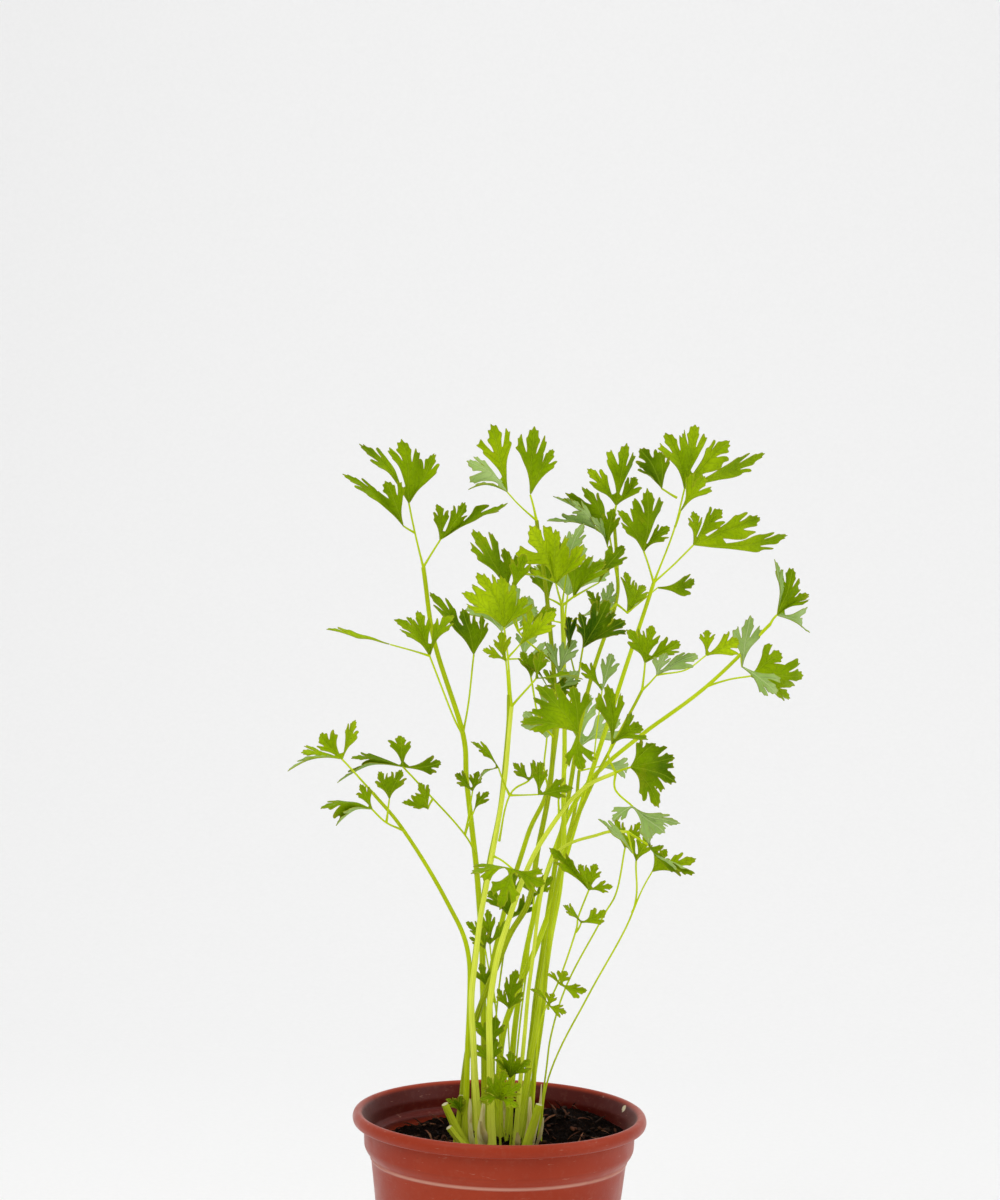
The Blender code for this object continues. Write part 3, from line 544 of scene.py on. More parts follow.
class Look:
    """A procedural material on the Principled shader; place is the piece's own space."""

    def __init__(self, name):
        self.material = bpy.data.materials.new(name)
        self.material.use_nodes = True
        self.tree = self.material.node_tree
        self.place = self.node("ShaderNodeTexCoord", {}).outputs["Object"]

    def connect(self, shader, inputs):
        for name, value in inputs.items():
            if isinstance(value, bpy.types.NodeSocket):
                self.tree.links.new(value, shader.inputs[name])
            else:
                shader.inputs[name].default_value = value

    def node(self, kind, inputs, **settings):
        """A shader node with its settings, and its inputs set or linked."""
        made = self.tree.nodes.new(kind)
        for name, value in settings.items():
            setattr(made, name, value)
        self.connect(made, inputs)
        return made

    def calc(self, operation, first, second=0.0, clamp=False):
        made = self.node("ShaderNodeMath", {0: first, 1: second}, operation=operation, use_clamp=clamp)
        return made.outputs[0]

    def times(self, first, second):
        return self.calc("MULTIPLY", first, second)

    def plus(self, first, second, clamp=False):
        return self.calc("ADD", first, second, clamp)

    def minus(self, first, second):
        return self.calc("SUBTRACT", first, second)

    def spread(self, value, low, high, start=0.0, end=1.0):
        """The value's range low..high stretched to start..end and held there."""
        inputs = {"Value": value, "From Min": low, "From Max": high, "To Min": start, "To Max": end}
        return self.node("ShaderNodeMapRange", inputs, clamp=True).outputs[0]

    def scaled(self, vector, size):
        return self.node("ShaderNodeVectorMath", {0: vector, 1: size}, operation="MULTIPLY").outputs[0]

    def split(self, vector):
        return self.node("ShaderNodeSeparateXYZ", {0: vector}).outputs

    def attribute(self, name):
        return self.node("ShaderNodeAttribute", {}, attribute_name=name).outputs

    def tone(self):
        return self.attribute("tone")["Fac"]

    def grain(self, scale, detail=3.0, roughness=0.5, distortion=0.0, place=None):
        inputs = {"Vector": self.place if place is None else place, "Scale": scale, "Detail": detail,
                  "Roughness": roughness, "Distortion": distortion}
        return self.node("ShaderNodeTexNoise", inputs).outputs[0]

    def cells(self, scale):
        return self.node("ShaderNodeTexVoronoi", {"Vector": self.place, "Scale": scale}).outputs[0]

    def mix(self, factor, *colours):
        """Two colours mixed by the factor; each is a node's output or three numbers."""
        first, second = [colour if isinstance(colour, bpy.types.NodeSocket) else (*colour, 1.0)
                         for colour in colours]
        return self.node("ShaderNodeMix", {0: factor, 6: first, 7: second}, data_type="RGBA").outputs[2]

    def ramp(self, factor, *stops):
        made = self.node("ShaderNodeValToRGB", {"Fac": factor})
        for _ in stops[2:]:
            made.color_ramp.elements.new(0.5)
        for element, (position, colour) in zip(made.color_ramp.elements, stops):
            element.position = position
            element.color = (*colour, 1.0)
        return made.outputs[0]

    def finish(self, colour, roughness, specular=0.5, height=None, depth=0.0, **others):
        """Joins it all to the shader. Depth is the full height of the bump in millimetres."""
        inputs = {"Base Color": colour, "Roughness": roughness, "Specular IOR Level": specular}
        if height is not None:
            bump = self.node("ShaderNodeBump", {"Height": height, "Distance": depth * MM, "Strength": 1.0})
            inputs["Normal"] = bump.outputs[0]
        for name, value in others.items():
            inputs[name.replace("_", " ").title()] = value
        self.connect(self.tree.nodes["Principled BSDF"], inputs)
        return self.material


def leaf_veins(look):
    """The midrib and the side veins that leave it forwards, and the distance to the blade's margin."""
    across, along, edge = look.split(look.attribute("detail")["Vector"])
    midrib = look.spread(across, 0.12, 0.45, 1.0, 0.0)
    drift = look.times(look.grain(160.0), 1.6)
    run = look.plus(look.minus(along, look.times(across, 1.25)), drift)
    phase = look.calc("FRACT", look.calc("DIVIDE", run, 3.3))
    off = look.calc("ABSOLUTE", look.minus(phase, 0.5))
    side = look.times(look.spread(off, 0.41, 0.49), look.spread(across, 5.5, 7.5, 0.75, 0.25))
    return look.calc("MAXIMUM", midrib, side), edge


def leaf_top_material():
    look = Look("leaf_top")
    veins, edge = leaf_veins(look)
    patches = look.times(look.minus(look.grain(55.0, 4.0), 0.5), 1.1)
    shade = look.plus(look.tone(), patches, clamp=True)
    green = look.ramp(shade, (0.0, (0.035, 0.09, 0.0)), (0.5, (0.225, 0.36, 0.0)),
                      (1.0, (0.47, 0.63, 0.004)))
    green = look.mix(look.spread(look.grain(900.0, 2.0), 0.35, 0.75, 0.0, 0.22), green, (0.04, 0.10, 0.0))
    green = look.mix(look.times(veins, 0.3), green, (0.36, 0.50, 0.02))
    yellow = look.spread(look.grain(48.0, 5.0, 0.65), 0.63, 0.74, 0.0, 0.45)
    green = look.mix(yellow, green, (0.36, 0.36, 0.01))
    green = look.mix(look.spread(edge, 0.05, 0.5, 0.5, 0.0), green, (0.36, 0.34, 0.02))
    height = look.minus(look.times(look.cells(620.0), 0.35), look.times(veins, 0.8))
    rough = look.spread(look.grain(240.0), 0.3, 0.7, 0.3, 0.52)
    return look.finish(green, rough, 0.03, height, 0.28)


def leaf_under_material():
    look = Look("leaf_underside")
    veins, edge = leaf_veins(look)
    green = look.ramp(look.grain(70.0, 4.0), (0.3, (0.24, 0.39, 0.07)), (0.55, (0.35, 0.51, 0.13)),
                      (0.8, (0.45, 0.60, 0.22)))
    green = look.mix(look.times(veins, 0.55), green, (0.56, 0.70, 0.28))
    green = look.mix(look.spread(edge, 0.05, 0.5, 0.4, 0.0), green, (0.34, 0.38, 0.06))
    height = look.plus(look.times(veins, 0.9), look.times(look.cells(620.0), 0.3))
    rough = look.spread(look.grain(300.0), 0.3, 0.7, 0.52, 0.7)
    return look.finish(green, rough, 0.12, height, 0.3)


def stem_material():
    """Ribbed yellow-green skin with painted highlights on the rib crests, paler and stained at the foot."""
    look = Look("stem")
    detail = look.attribute("detail")["Vector"]
    ridge = look.split(detail)[0]
    streaks = look.grain(1.0, 4.0, place=look.scaled(detail, (1.6, 0.07, 0.0)))
    shade = look.plus(look.tone(), look.times(look.minus(streaks, 0.5), 0.9), clamp=True)
    green = look.ramp(shade, (0.0, (0.22, 0.28, 0.0)), (0.5, (0.54, 0.68, 0.0)), (1.0, (0.82, 0.90, 0.10)))
    # Painted highlight: the crests of the ribs are made paler in the colour.
    green = look.mix(look.spread(ridge, -1.0, 1.0, 0.0, 0.3), green, (0.66, 0.78, 0.05))
    foot = look.plus(look.split(look.place)[2], look.times(streaks, 0.02))
    foot = look.spread(foot, 0.106, 0.135, 0.75, 0.0)
    green = look.mix(look.times(foot, 0.6), green, (0.50, 0.50, 0.08))
    stain = look.spread(look.grain(140.0, 5.0, 0.7), 0.6, 0.75, 0.0, 0.35)
    green = look.mix(look.times(stain, foot), green, (0.12, 0.07, 0.02))
    bumps = look.plus(look.times(ridge, 0.3), streaks)
    return look.finish(green, look.spread(streaks, 0.3, 0.7, 0.3, 0.48), 0.05, bumps, 0.12)


def cut_end_material():
    look = Look("cut_end")
    pith = look.grain(900.0, 4.0)
    colour = look.ramp(pith, (0.3, (0.42, 0.36, 0.16)), (0.6, (0.62, 0.58, 0.34)), (0.8, (0.34, 0.24, 0.10)))
    return look.finish(colour, 0.75, height=pith, depth=0.4)


def sheath_material():
    look = Look("dry_sheath")
    fibres = look.grain(1.0, 4.0, 0.6, place=look.scaled(look.place, (900.0, 900.0, 60.0)))
    colour = look.ramp(fibres, (0.25, (0.50, 0.38, 0.10)), (0.5, (0.80, 0.74, 0.30)),
                       (0.75, (0.92, 0.90, 0.62)))
    colour = look.mix(look.tone(), colour, (0.40, 0.28, 0.06))
    return look.finish(colour, look.spread(fibres, 0.2, 0.8, 0.5, 0.8), height=fibres, depth=0.3)


def pot_material():
    """Moulded red-brown plastic: painted shade inside, a painted highlight at the crease, dusty, scuffed,
    with one pale chip.
    """
    look = Look("pot_plastic")
    cloud = look.grain(22.0, 4.0)
    colour = look.ramp(cloud, (0.3, (0.30, 0.026, 0.006)), (0.7, (0.36, 0.040, 0.012)))
    flat = look.scaled(look.place, (1.0, 1.0, 0.0))
    reach = look.node("ShaderNodeVectorMath", {0: flat}, operation="LENGTH").outputs["Value"]
    height = look.split(look.place)[2]
    # Painted shade: the inside of the pot and the inner slope of its lip are darkened in the colour.
    inside = look.times(look.spread(reach, 0.0591, 0.0594, 1.0, 0.0), look.spread(height, 0.0955, 0.0985))
    collar_shade = look.times(look.spread(reach, 0.0604, 0.0612, 1.0, 0.0), look.spread(height, 0.1064, 0.1066))
    inside = look.times(look.calc("MAXIMUM", inside, collar_shade), 0.85)
    colour = look.mix(inside, colour, (0.055, 0.0, 0.0))
    # Painted highlight: a pale line in the colour along the rounded lower edge of the band, where the crease
    # catches the light.
    crease_highlight = look.times(look.spread(height, 0.0905, 0.0913), look.spread(height, 0.0917, 0.0926, 1.0, 0.0))
    crease_highlight = look.times(crease_highlight, look.spread(cloud, 0.3, 0.6, 0.25, 0.6))
    colour = look.mix(crease_highlight, colour, (0.72, 0.42, 0.32))
    dust = look.spread(look.grain(320.0, 6.0, 0.7), 0.52, 0.8, 0.0, 0.12)
    colour = look.mix(dust, colour, (0.50, 0.22, 0.15))
    drag = look.grain(1.0, 5.0, 0.6, place=look.scaled(look.place, (160.0, 160.0, 900.0)))
    scuff = look.spread(drag, 0.65, 0.73, 0.0, 0.42)
    colour = look.mix(scuff, colour, (0.58, 0.30, 0.22))
    colour = look.mix(look.spread(look.cells(260.0), 0.035, 0.075, 0.75, 0.0), colour, (0.14, 0.03, 0.015))
    near = look.node("ShaderNodeVectorMath", {0: look.place, 1: CHIP_PLACE}, operation="DISTANCE")
    ragged = look.plus(near.outputs["Value"], look.times(look.grain(700.0), 0.0018))
    chip = look.spread(ragged, 0.0026, 0.0030, 1.0, 0.0)
    colour = look.mix(chip, colour, (0.80, 0.68, 0.50))
    flow = look.plus(look.times(look.grain(1400.0), 0.5), look.times(drag, 0.8))
    rough = look.spread(look.grain(130.0, 5.0), 0.3, 0.7, 0.30, 0.46)
    rough = look.plus(rough, look.times(look.plus(scuff, chip), 0.3), clamp=True)
    return look.finish(colour, rough, 0.16, flow, 0.06, sheen_weight=0.25, sheen_roughness=0.35,
                       sheen_tint=(1.0, 0.82, 0.76, 1.0))


def soil_material():
    look = Look("potting_mix")
    crumbs = look.grain(420.0, 8.0, 0.7)
    colour = look.ramp(crumbs, (0.35, (0.001, 0.0004, 0.0002)), (0.55, (0.004, 0.0016, 0.0008)),
                       (0.72, (0.018, 0.007, 0.003)), (0.85, (0.07, 0.025, 0.012)))
    fibre = look.spread(look.grain(900.0, 3.0, 0.5, 2.5), 0.66, 0.72, 0.0, 0.7)
    colour = look.mix(fibre, colour, (0.13, 0.05, 0.025))
    lumps = look.plus(crumbs, look.times(look.cells(500.0), 0.6))
    return look.finish(colour, 0.92, 0.04, lumps, 1.6)


def bark_material():
    look = Look("bark_bits")
    fibres = look.grain(1100.0, 5.0, 0.65)
    shade = look.plus(look.tone(), look.times(look.minus(fibres, 0.5), 0.5), clamp=True)
    colour = look.ramp(shade, (0.0, (0.006, 0.004, 0.003)), (0.4, (0.035, 0.015, 0.008)),
                       (0.75, (0.16, 0.055, 0.028)), (1.0, (0.34, 0.20, 0.11)))
    return look.finish(colour, 0.85, 0.08, fibres, 0.5)


def stage_material():
    look = Look("studio_paper")
    colour = look.ramp(look.grain(300.0), (0.0, (0.86, 0.86, 0.86)), (1.0, (0.9, 0.9, 0.9)))
    return look.finish(colour, 0.95, 0.0, emission_color=(1.0, 1.0, 1.0, 1.0), emission_strength=0.035)


# ---------------------------------------------------------------- plant


def ring_faces(rings, sides, start=0):
    """Quads that join each ring of points to the next one."""
    faces = []
    for ring in range(rings):
        low = start + ring * sides
        for step in range(sides):
            after = (step + 1) % sides
            faces.append((low + step, low + after, low + sides + after, low + sides + step))
    return faces


def stem(shape, route, radius_at, sides, ribs=0, tone=0.5, caps=(STEM, STEM)):
    """A round stem swept along the route, ribbed if asked, with slightly domed ends."""
    points, details = [], []
    across = (route[1] - route[0]).orthogonal().normalized()
    last = len(route) - 1
    run = 0.0
    for index, spot in enumerate(route):
        ahead = (route[min(index + 1, last)] - route[max(index - 1, 0)]).normalized()
        across = (across - ahead * across.dot(ahead)).normalized()
        beside = ahead.cross(across)
        run += (spot - route[max(index - 1, 0)]).length
        radius = radius_at(run)
        for step in range(sides):
            angle = math.tau * step / sides
            ridge = math.cos(ribs * angle) if ribs else 0.0
            reach = radius * (1.0 + RIB_DEPTH * ridge)
            points.append(spot + (across * math.cos(angle) + beside * math.sin(angle)) * reach)
            details.append((ridge, run, radius))
    faces = ring_faces(last, sides)
    kinds = [STEM] * len(faces)
    for end, inward, kind in ((0, 1, caps[0]), (last, last - 1, caps[1])):
        outward = (route[end] - route[inward]).normalized()
        points.append(route[end] + outward * 0.25 * radius_at(0.0 if end == 0 else run))
        details.append((0.0, 0.0 if end == 0 else run, 0.0))
        centre = len(points) - 1
        for step in range(sides):
            after = (step + 1) % sides
            pair = (end * sides + after, end * sides + step)
            faces.append((*pair, centre) if end == 0 else (*reversed(pair), centre))
            kinds.append(kind)
    shape.add(points, faces, kinds, details, tone)


def wobble(route, size, seed):
    """The route with a slight natural waver, none at its ends."""
    last = len(route) - 1
    moved = []
    for index, spot in enumerate(route):
        share = math.sin(math.pi * index / last)
        moved.append(spot + noise.noise_vector(spot / 28.0 + Vector((seed, 0.0, 0.0))) * size * share)
    return moved


class Lobe:
    """One leaflet's own frame: along its midrib, across it, and out of its upper face."""

    def __init__(self, base, tip, width, turn, rng):
        self.base = base
        self.length = (tip - base).length
        self.width = width
        self.along = (tip - base) / self.length
        self.over = abs(turn) > 90
        face = (FACING - self.along * FACING.dot(self.along)).normalized()
        self.face = Quaternion(self.along, math.radians(turn - 180 if self.over else turn)) @ face
        self.side = self.along.cross(self.face)
        self.arch = rng.uniform(0.02, 0.09)
        self.fold = rng.uniform(0.12, 0.42)
        self.curl = rng.uniform(-0.02, 0.045)
        self.bend = rng.uniform(-0.06, 0.06)
        self.twist = rng.uniform(-0.35, 0.35)
        self.wave = rng.uniform(0.3, 1.1)
        self.phase = rng.uniform(0.0, math.tau)
        self.heading = 0.0
        if self.along.z < LEVEL_SLOPE and turn > 0:
            self.arch += DROOP

    def place(self, x, y):
        share = min(1.0, max(0.0, y / self.length))
        swing = math.sin(math.pi * share)
        turn = self.twist * (share - 0.4)
        side = self.side * math.cos(turn) + self.face * math.sin(turn)
        face = self.face * math.cos(turn) - self.side * math.sin(turn)
        out = abs(x) / self.width
        ripple = self.wave * out * math.sin(y * 0.55 + self.phase + (1.7 if x > 0 else 0.0))
        lift = self.fold * abs(x) - self.curl * x * x + self.arch * self.length * swing + ripple
        return self.base + side * (x + self.bend * self.length * swing) + self.along * y + face * lift


def margin(width, length, rng):
    """A leaflet's closed outline in its own plane, right side up and left side down, with rounded teeth."""
    half = SMALL_MARGIN if width < SMALL_WIDTH else BROAD_MARGIN
    sides = []
    for sign in (1, -1):
        size = rng.uniform(0.9, 1.1) * width * sign
        shift = rng.uniform(-0.03, 0.03)
        side = []
        for x, y in half:
            reach = x * size * rng.uniform(0.9, 1.12)
            side.append((reach, (y + shift * smoothstep(y * 2) + rng.gauss(0, 0.008)) * length))
        sides.append(side)
    outline = [*sides[0], (0.0, length), *reversed(sides[1])]
    for _ in range(2):
        cut = []
        for (x0, y0), (x1, y1) in zip(outline, [*outline[1:], outline[0]]):
            for share in (CORNER_CUT, 1 - CORNER_CUT):
                cut.append(((1 - share) * x0 + share * x1, (1 - share) * y0 + share * y1))
        outline = cut
    return outline


def turn_flat(x, y, heading):
    return x * math.cos(heading) + y * math.sin(heading), y * math.cos(heading) - x * math.sin(heading)


def lay_out(lobes):
    """Sorts the lobes across the blade and spreads their headings as they are spread in space."""
    middle = sum((lobe.along for lobe in lobes), Vector()).normalized()
    normal = sum((lobe.face for lobe in lobes), Vector())
    normal = (normal - middle * normal.dot(middle)).normalized()
    right = middle.cross(normal)
    lobes.sort(key=lambda lobe: math.atan2(lobe.along.dot(right), lobe.along.dot(middle)))
    for before, after in zip(lobes, lobes[1:]):
        after.heading = before.heading + max(LEAST_SPREAD, before.along.angle(after.along))
    centre = (lobes[0].heading + lobes[-1].heading) / 2
    for lobe in lobes:
        lobe.heading -= centre


def blade_layout(lobes, rng):
    """The blade's outlines, webs and midribs in its own flat plane, and the points strewn inside it."""
    points, edges, faces = [], [], []
    ribs = []
    for lobe in lobes:
        start = len(points)
        outline = margin(lobe.width, lobe.length, rng)
        points.extend(turn_flat(x, y, lobe.heading) for x, y in outline)
        faces.append(list(range(start, len(points))))
        count = max(4, round(lobe.length / MIDRIB_STEP))
        rib = [turn_flat(0.0, lobe.length * 0.985 * step / count, lobe.heading) for step in range(count + 1)]
        ribs.append(rib)
        start = len(points)
        points.extend(rib)
        edges.extend((start + step, start + step + 1) for step in range(count))
    for index, (before, after) in enumerate(zip(lobes, lobes[1:])):
        gap = after.heading - before.heading
        if gap > WIDEST_WEB:
            continue
        webbed = 0.44 - 0.0030 * math.degrees(gap)
        reach = webbed * min(before.length, after.length) * rng.uniform(0.85, 1.1)
        near = max(2, round(reach / before.length * (len(ribs[index]) - 1)))
        far = max(2, round(reach / after.length * (len(ribs[index + 1]) - 1)))
        sinus = turn_flat(0.0, reach * math.cos(gap / 2) * 0.86, (before.heading + after.heading) / 2)
        start = len(points)
        points.extend([*ribs[index][:near + 1], sinus, *reversed(ribs[index + 1][1:far + 1])])
        faces.append(list(range(start, len(points))))
    xs = [x for x, _ in points]
    ys = [y for _, y in points]
    row = 0
    y = min(ys)
    while y < max(ys):
        x = min(xs) + (0.5 * BLADE_SPACING if row % 2 else 0.0)
        while x < max(xs):
            points.append((x + rng.uniform(-0.2, 0.2), y + rng.uniform(-0.2, 0.2)))
            x += BLADE_SPACING
        y += BLADE_SPACING * 0.866
        row += 1
    return points, edges, faces


def blade_spot(lobes, x, y):
    """Where a point of the flat layout lies in space: between its two neighbouring lobes' frames."""
    reach = math.hypot(x, y)
    heading = math.atan2(x, y)
    placed = [(lobes[0], 1.0)] if heading <= lobes[0].heading else [(lobes[-1], 1.0)]
    for before, after in zip(lobes, lobes[1:]):
        if before.heading < heading < after.heading:
            share = smoothstep((heading - before.heading) / (after.heading - before.heading))
            placed = [(before, 1.0 - share), (after, share)]
    spot = Vector()
    for lobe, weight in placed:
        off = heading - lobe.heading
        spot += lobe.place(reach * math.sin(off), reach * math.cos(off)) * weight
    return spot


def blade(shape, base, leaflets, tone, rng):
    """A lobed blade whose lobes run from the base to the leaflets' tips, webbed together near the base."""
    lobes = [Lobe(base, Vector(tip), width, turn, rng) for tip, width, turn in leaflets]
    lay_out(lobes)
    points, edges, outlines = blade_layout(lobes, rng)
    points = [Vector(point) for point in points]
    flat, _, triangles, *_ = delaunay_2d_cdt(points, edges, outlines, 1, 0.01)
    used = sorted({index for triangle in triangles for index in triangle})
    number = {index: count for count, index in enumerate(used)}
    flat = [flat[index] for index in used]
    faces = []
    for triangle in triangles:
        a, b, c = (number[index] for index in triangle)
        area = (flat[b] - flat[a]).cross(flat[c] - flat[a])
        faces.append((a, b, c) if area > 0 else (a, c, b))
    seed = Vector((rng.uniform(0, 50), 0.0, 0.0))
    spots = []
    for point in flat:
        spot = blade_spot(lobes, point.x, point.y)
        share = smoothstep(point.length / 14.0)
        spots.append(spot + noise.noise_vector(spot / 13.0 + seed) * 1.1 * share)
    normals = [Vector() for _ in spots]
    sides = {}
    for a, b, c in faces:
        normal = (spots[b] - spots[a]).cross(spots[c] - spots[a])
        for corner in (a, b, c):
            normals[corner] += normal
        for edge in ((a, b), (b, c), (c, a)):
            sides[edge] = True
    rim = [edge for edge in sides if (edge[1], edge[0]) not in sides]
    tree = kdtree.KDTree(len(rim))
    for index, (a, _) in enumerate(rim):
        tree.insert(flat[a].to_3d(), index)
    tree.balance()
    details = []
    for point in flat:
        reach, heading = point.length, math.atan2(point.x, point.y)
        off = min(abs(heading - lobe.heading) for lobe in lobes)
        edge = tree.find(point.to_3d())[2]
        details.append((reach * math.sin(min(off, math.pi / 2)), reach * math.cos(off), edge))
    lift = [normal.normalized() * BLADE_THICKNESS / 2 for normal in normals]
    count = len(spots)
    upper = [spot + out for spot, out in zip(spots, lift)]
    lower = [spot - out for spot, out in zip(spots, lift)]
    under = [(a + count, c + count, b + count) for a, b, c in faces]
    band = [(b, a, a + count, b + count) for a, b in rim]
    kinds = []
    for a, b, c in faces:
        middle = flat[a] + flat[b] + flat[c]
        heading = math.atan2(middle.x, middle.y)
        nearest = min(lobes, key=lambda lobe: abs(heading - lobe.heading))
        kinds.append(UNDER if nearest.over else TOP)
    kinds += [TOP if kind == UNDER else UNDER for kind in kinds] + [TOP] * len(band)
    shape.add([*upper, *lower], [*faces, *under, *band], kinds, details * 2, tone)


def twig_radius(start, end):
    """A twig's radius along its run: a short swollen foot, then an even taper."""
    return lambda run: end + (start - end) * math.exp(-run / 4.0)


def leaf_piece(name, shoots, radius, steps, materials):
    """One whole leaf: its twigs and the blades at their ends."""
    rng = random.Random(name)
    shape = Shape()
    tone = TONE_AND_SHADE.get(name, rng.uniform(0.35, 0.65))
    for number, (route, leaflets) in enumerate([*shoots, *FINE_SHOOTS.get(name, [])]):
        route = wobble(smooth_route(route, steps * 3), 0.5, number)
        end = min(radius, TWIG_RADIUS) if number == 0 else 0.8 * TWIG_RADIUS
        start = radius * 1.5 if number == 0 else end * 1.8
        stem(shape, route, twig_radius(start, end), 10, tone=0.3 + 0.4 * tone)
        blade(shape, route[-1], leaflets, tone + rng.uniform(-0.1, 0.1), rng)
    finish_piece(shape.build(name, materials), "leaf", name)


def stalk_piece(name, foot_radius, top_radius, route, materials):
    """One ribbed stalk, swollen at its foot."""
    route = wobble(smooth_route(route, 9), 0.9, len(name))
    total = sum((b - a).length for a, b in zip(route, route[1:]))

    def radius_at(run):
        return foot_radius + (top_radius - foot_radius) * run / total + 0.8 * math.exp(-run / 14.0)

    shape = Shape()
    stem(shape, route, radius_at, 24, 8, TONE_AND_SHADE[name])
    finish_piece(shape.build(name, materials), "stalk", name)


# ---------------------------------------------------------------- pot, potting mix and crown


def rounded(profile, radius, steps=4):
    """The profile with its corners cut and rounded, its two ends kept."""
    path = [Vector(point) for point in profile]
    smooth = [path[0]]
    for before, corner, after in zip(path, path[1:], path[2:]):
        back, ahead = before - corner, after - corner
        start = corner + back.normalized() * min(radius, 0.42 * back.length)
        end = corner + ahead.normalized() * min(radius, 0.42 * ahead.length)
        for step in range(steps + 1):
            t = step / steps
            smooth.append(start * (1 - t) ** 2 + corner * 2 * t * (1 - t) + end * t * t)
    return [*smooth, path[-1]]


def turned_spot(radius, height, angle):
    return Vector((radius * math.cos(angle), radius * math.sin(angle), height))


def lathe(profile, steps, spot=turned_spot):
    """Points and faces of a (radius, height) profile turned about Z, from one pole round to the other."""
    points = [spot(*profile[0], 0.0)]
    for radius, height in profile[1:-1]:
        points.extend(spot(radius, height, math.tau * step / steps) for step in range(steps))
    points.append(spot(*profile[-1], 0.0))
    rings = len(profile) - 3
    faces = ring_faces(rings, steps, 1)
    low = 1 + rings * steps
    for step in range(steps):
        after = (step + 1) % steps
        faces.append((0, 1 + after, 1 + step))
        faces.append((low + step, low + after, len(points) - 1))
    return points, faces


def make_pot(material):
    rim = POT_HEIGHT
    inner_base = BASE_RADIUS - POT_WALL
    profile = [
        (0, FLOOR_THICKNESS), (inner_base - 1.2, FLOOR_THICKNESS), (inner_base, FLOOR_THICKNESS + 1.5),
        (LEDGE_RADIUS, LEDGE_HEIGHT - 0.8), (LEDGE_RADIUS + 0.4, LEDGE_HEIGHT),
        (BAND_RADIUS - POT_WALL, LEDGE_HEIGHT + 1.3), (BAND_RADIUS - POT_WALL + 0.1, rim - 7.0),
        (LIP_RADIUS - 4.6, rim - 1.8), (LIP_RADIUS - 3.6, rim - 0.4), (LIP_RADIUS - 2.2, rim),
        (LIP_RADIUS - 0.7, rim - 0.9),
        (LIP_RADIUS, rim - 3.2), (LIP_RADIUS - 0.8, rim - 5.6), (BAND_RADIUS + 0.4, rim - 6.2),
        (BAND_RADIUS, rim - 15.4), (BAND_RADIUS - 1.0, rim - 17.6), (BAND_RADIUS - 2.9, CREASE_HEIGHT + 1.6),
        (BAND_RADIUS - 2.5, CREASE_HEIGHT + 0.9), (BAND_RADIUS - 3.2, CREASE_HEIGHT - 0.1),
        (BASE_RADIUS + 0.8, 2.0), (BASE_RADIUS - 1.0, 0), (0, 0),
    ]
    shape = Shape()
    shape.add(*lathe(rounded(profile, 1.0), POT_STEPS), 0)
    pot = shape.build("pot", [material], 30.0)
    for number in range(DRAIN_HOLES):
        angle = math.tau * (number + 0.5) / DRAIN_HOLES
        centre = turned_spot(DRAIN_CIRCLE, 0.0, angle) * MM
        bpy.ops.mesh.primitive_cylinder_add(vertices=40, radius=DRAIN_RADIUS * MM, depth=12 * MM,
                                            location=centre)
        hole = bpy.context.object
        cut = pot.modifiers.new("drain", "BOOLEAN")
        cut.object = hole
        cut.operation = "DIFFERENCE"
        bpy.context.view_layer.objects.active = pot
        bpy.ops.object.modifier_apply(modifier=cut.name)
        bpy.data.objects.remove(hole, do_unlink=True)
    finish_piece(pot, "pot", "pot")


def soil_height(x, y):
    """Height of the potting mix: lower on the left, heaped on the right at the back."""
    heap = HEAP_HEIGHT * math.exp(-((x - HEAP_PLACE[0]) ** 2 + (y - HEAP_PLACE[1]) ** 2) / HEAP_SPREAD)
    ripple = 0.5 * math.sin(x * 0.31 + 1.0) * math.sin(y * 0.27)
    return SOIL_LEVEL + 0.045 * x + 0.02 * y + heap + ripple


def soil_reach(angle):
    """How far out the mix goes: to the wall, or over the pot's inner ledge where it is heaped."""
    x, y = SOIL_RADIUS * math.cos(angle), SOIL_RADIUS * math.sin(angle)
    return LEDGE_RADIUS - 0.3 + 3.0 * smoothstep((soil_height(x, y) - 98.2) / 1.2)


def crumbly(x, y):
    place = Vector((x, y, 0.0))
    return (noise.noise(place / 5.0) * 1.0 + noise.noise(place / 2.2 + Vector((9, 4, 0))) * 0.8
            + noise.noise(place / 1.1 + Vector((3, 8, 0))) * 0.35)


def make_soil(material):
    top = [(step / SOIL_RINGS, 1.0) for step in range(SOIL_RINGS + 1)]
    slope = (LEDGE_RADIUS - BASE_RADIUS + POT_WALL) / (LEDGE_HEIGHT - 0.8 - FLOOR_THICKNESS - 1.5)
    foot = LEDGE_RADIUS - 1.0 - slope * (SOIL_LEVEL - 8.0)
    floor = FLOOR_THICKNESS + CLEARANCE
    profile = [*top, (LEDGE_RADIUS - 1.0, 90.0), (foot, 8.0), (foot - 2.5, floor), (0, floor)]

    def spot(radius, height, angle):
        if height != 1.0:
            return turned_spot(radius, height, angle)
        radius *= soil_reach(angle)
        x, y = radius * math.cos(angle), radius * math.sin(angle)
        level = soil_height(x, y) + crumbly(x, y)
        if radius > LEDGE_RADIUS:
            level = max(level, LEDGE_HEIGHT + 0.5 + 0.45 * (radius - LEDGE_RADIUS))
        return Vector((x, y, level))

    shape = Shape()
    shape.add(*lathe(profile, SOIL_STEPS, spot), 0)
    finish_piece(shape.build("soil", [material], 80.0), "soil", "soil")


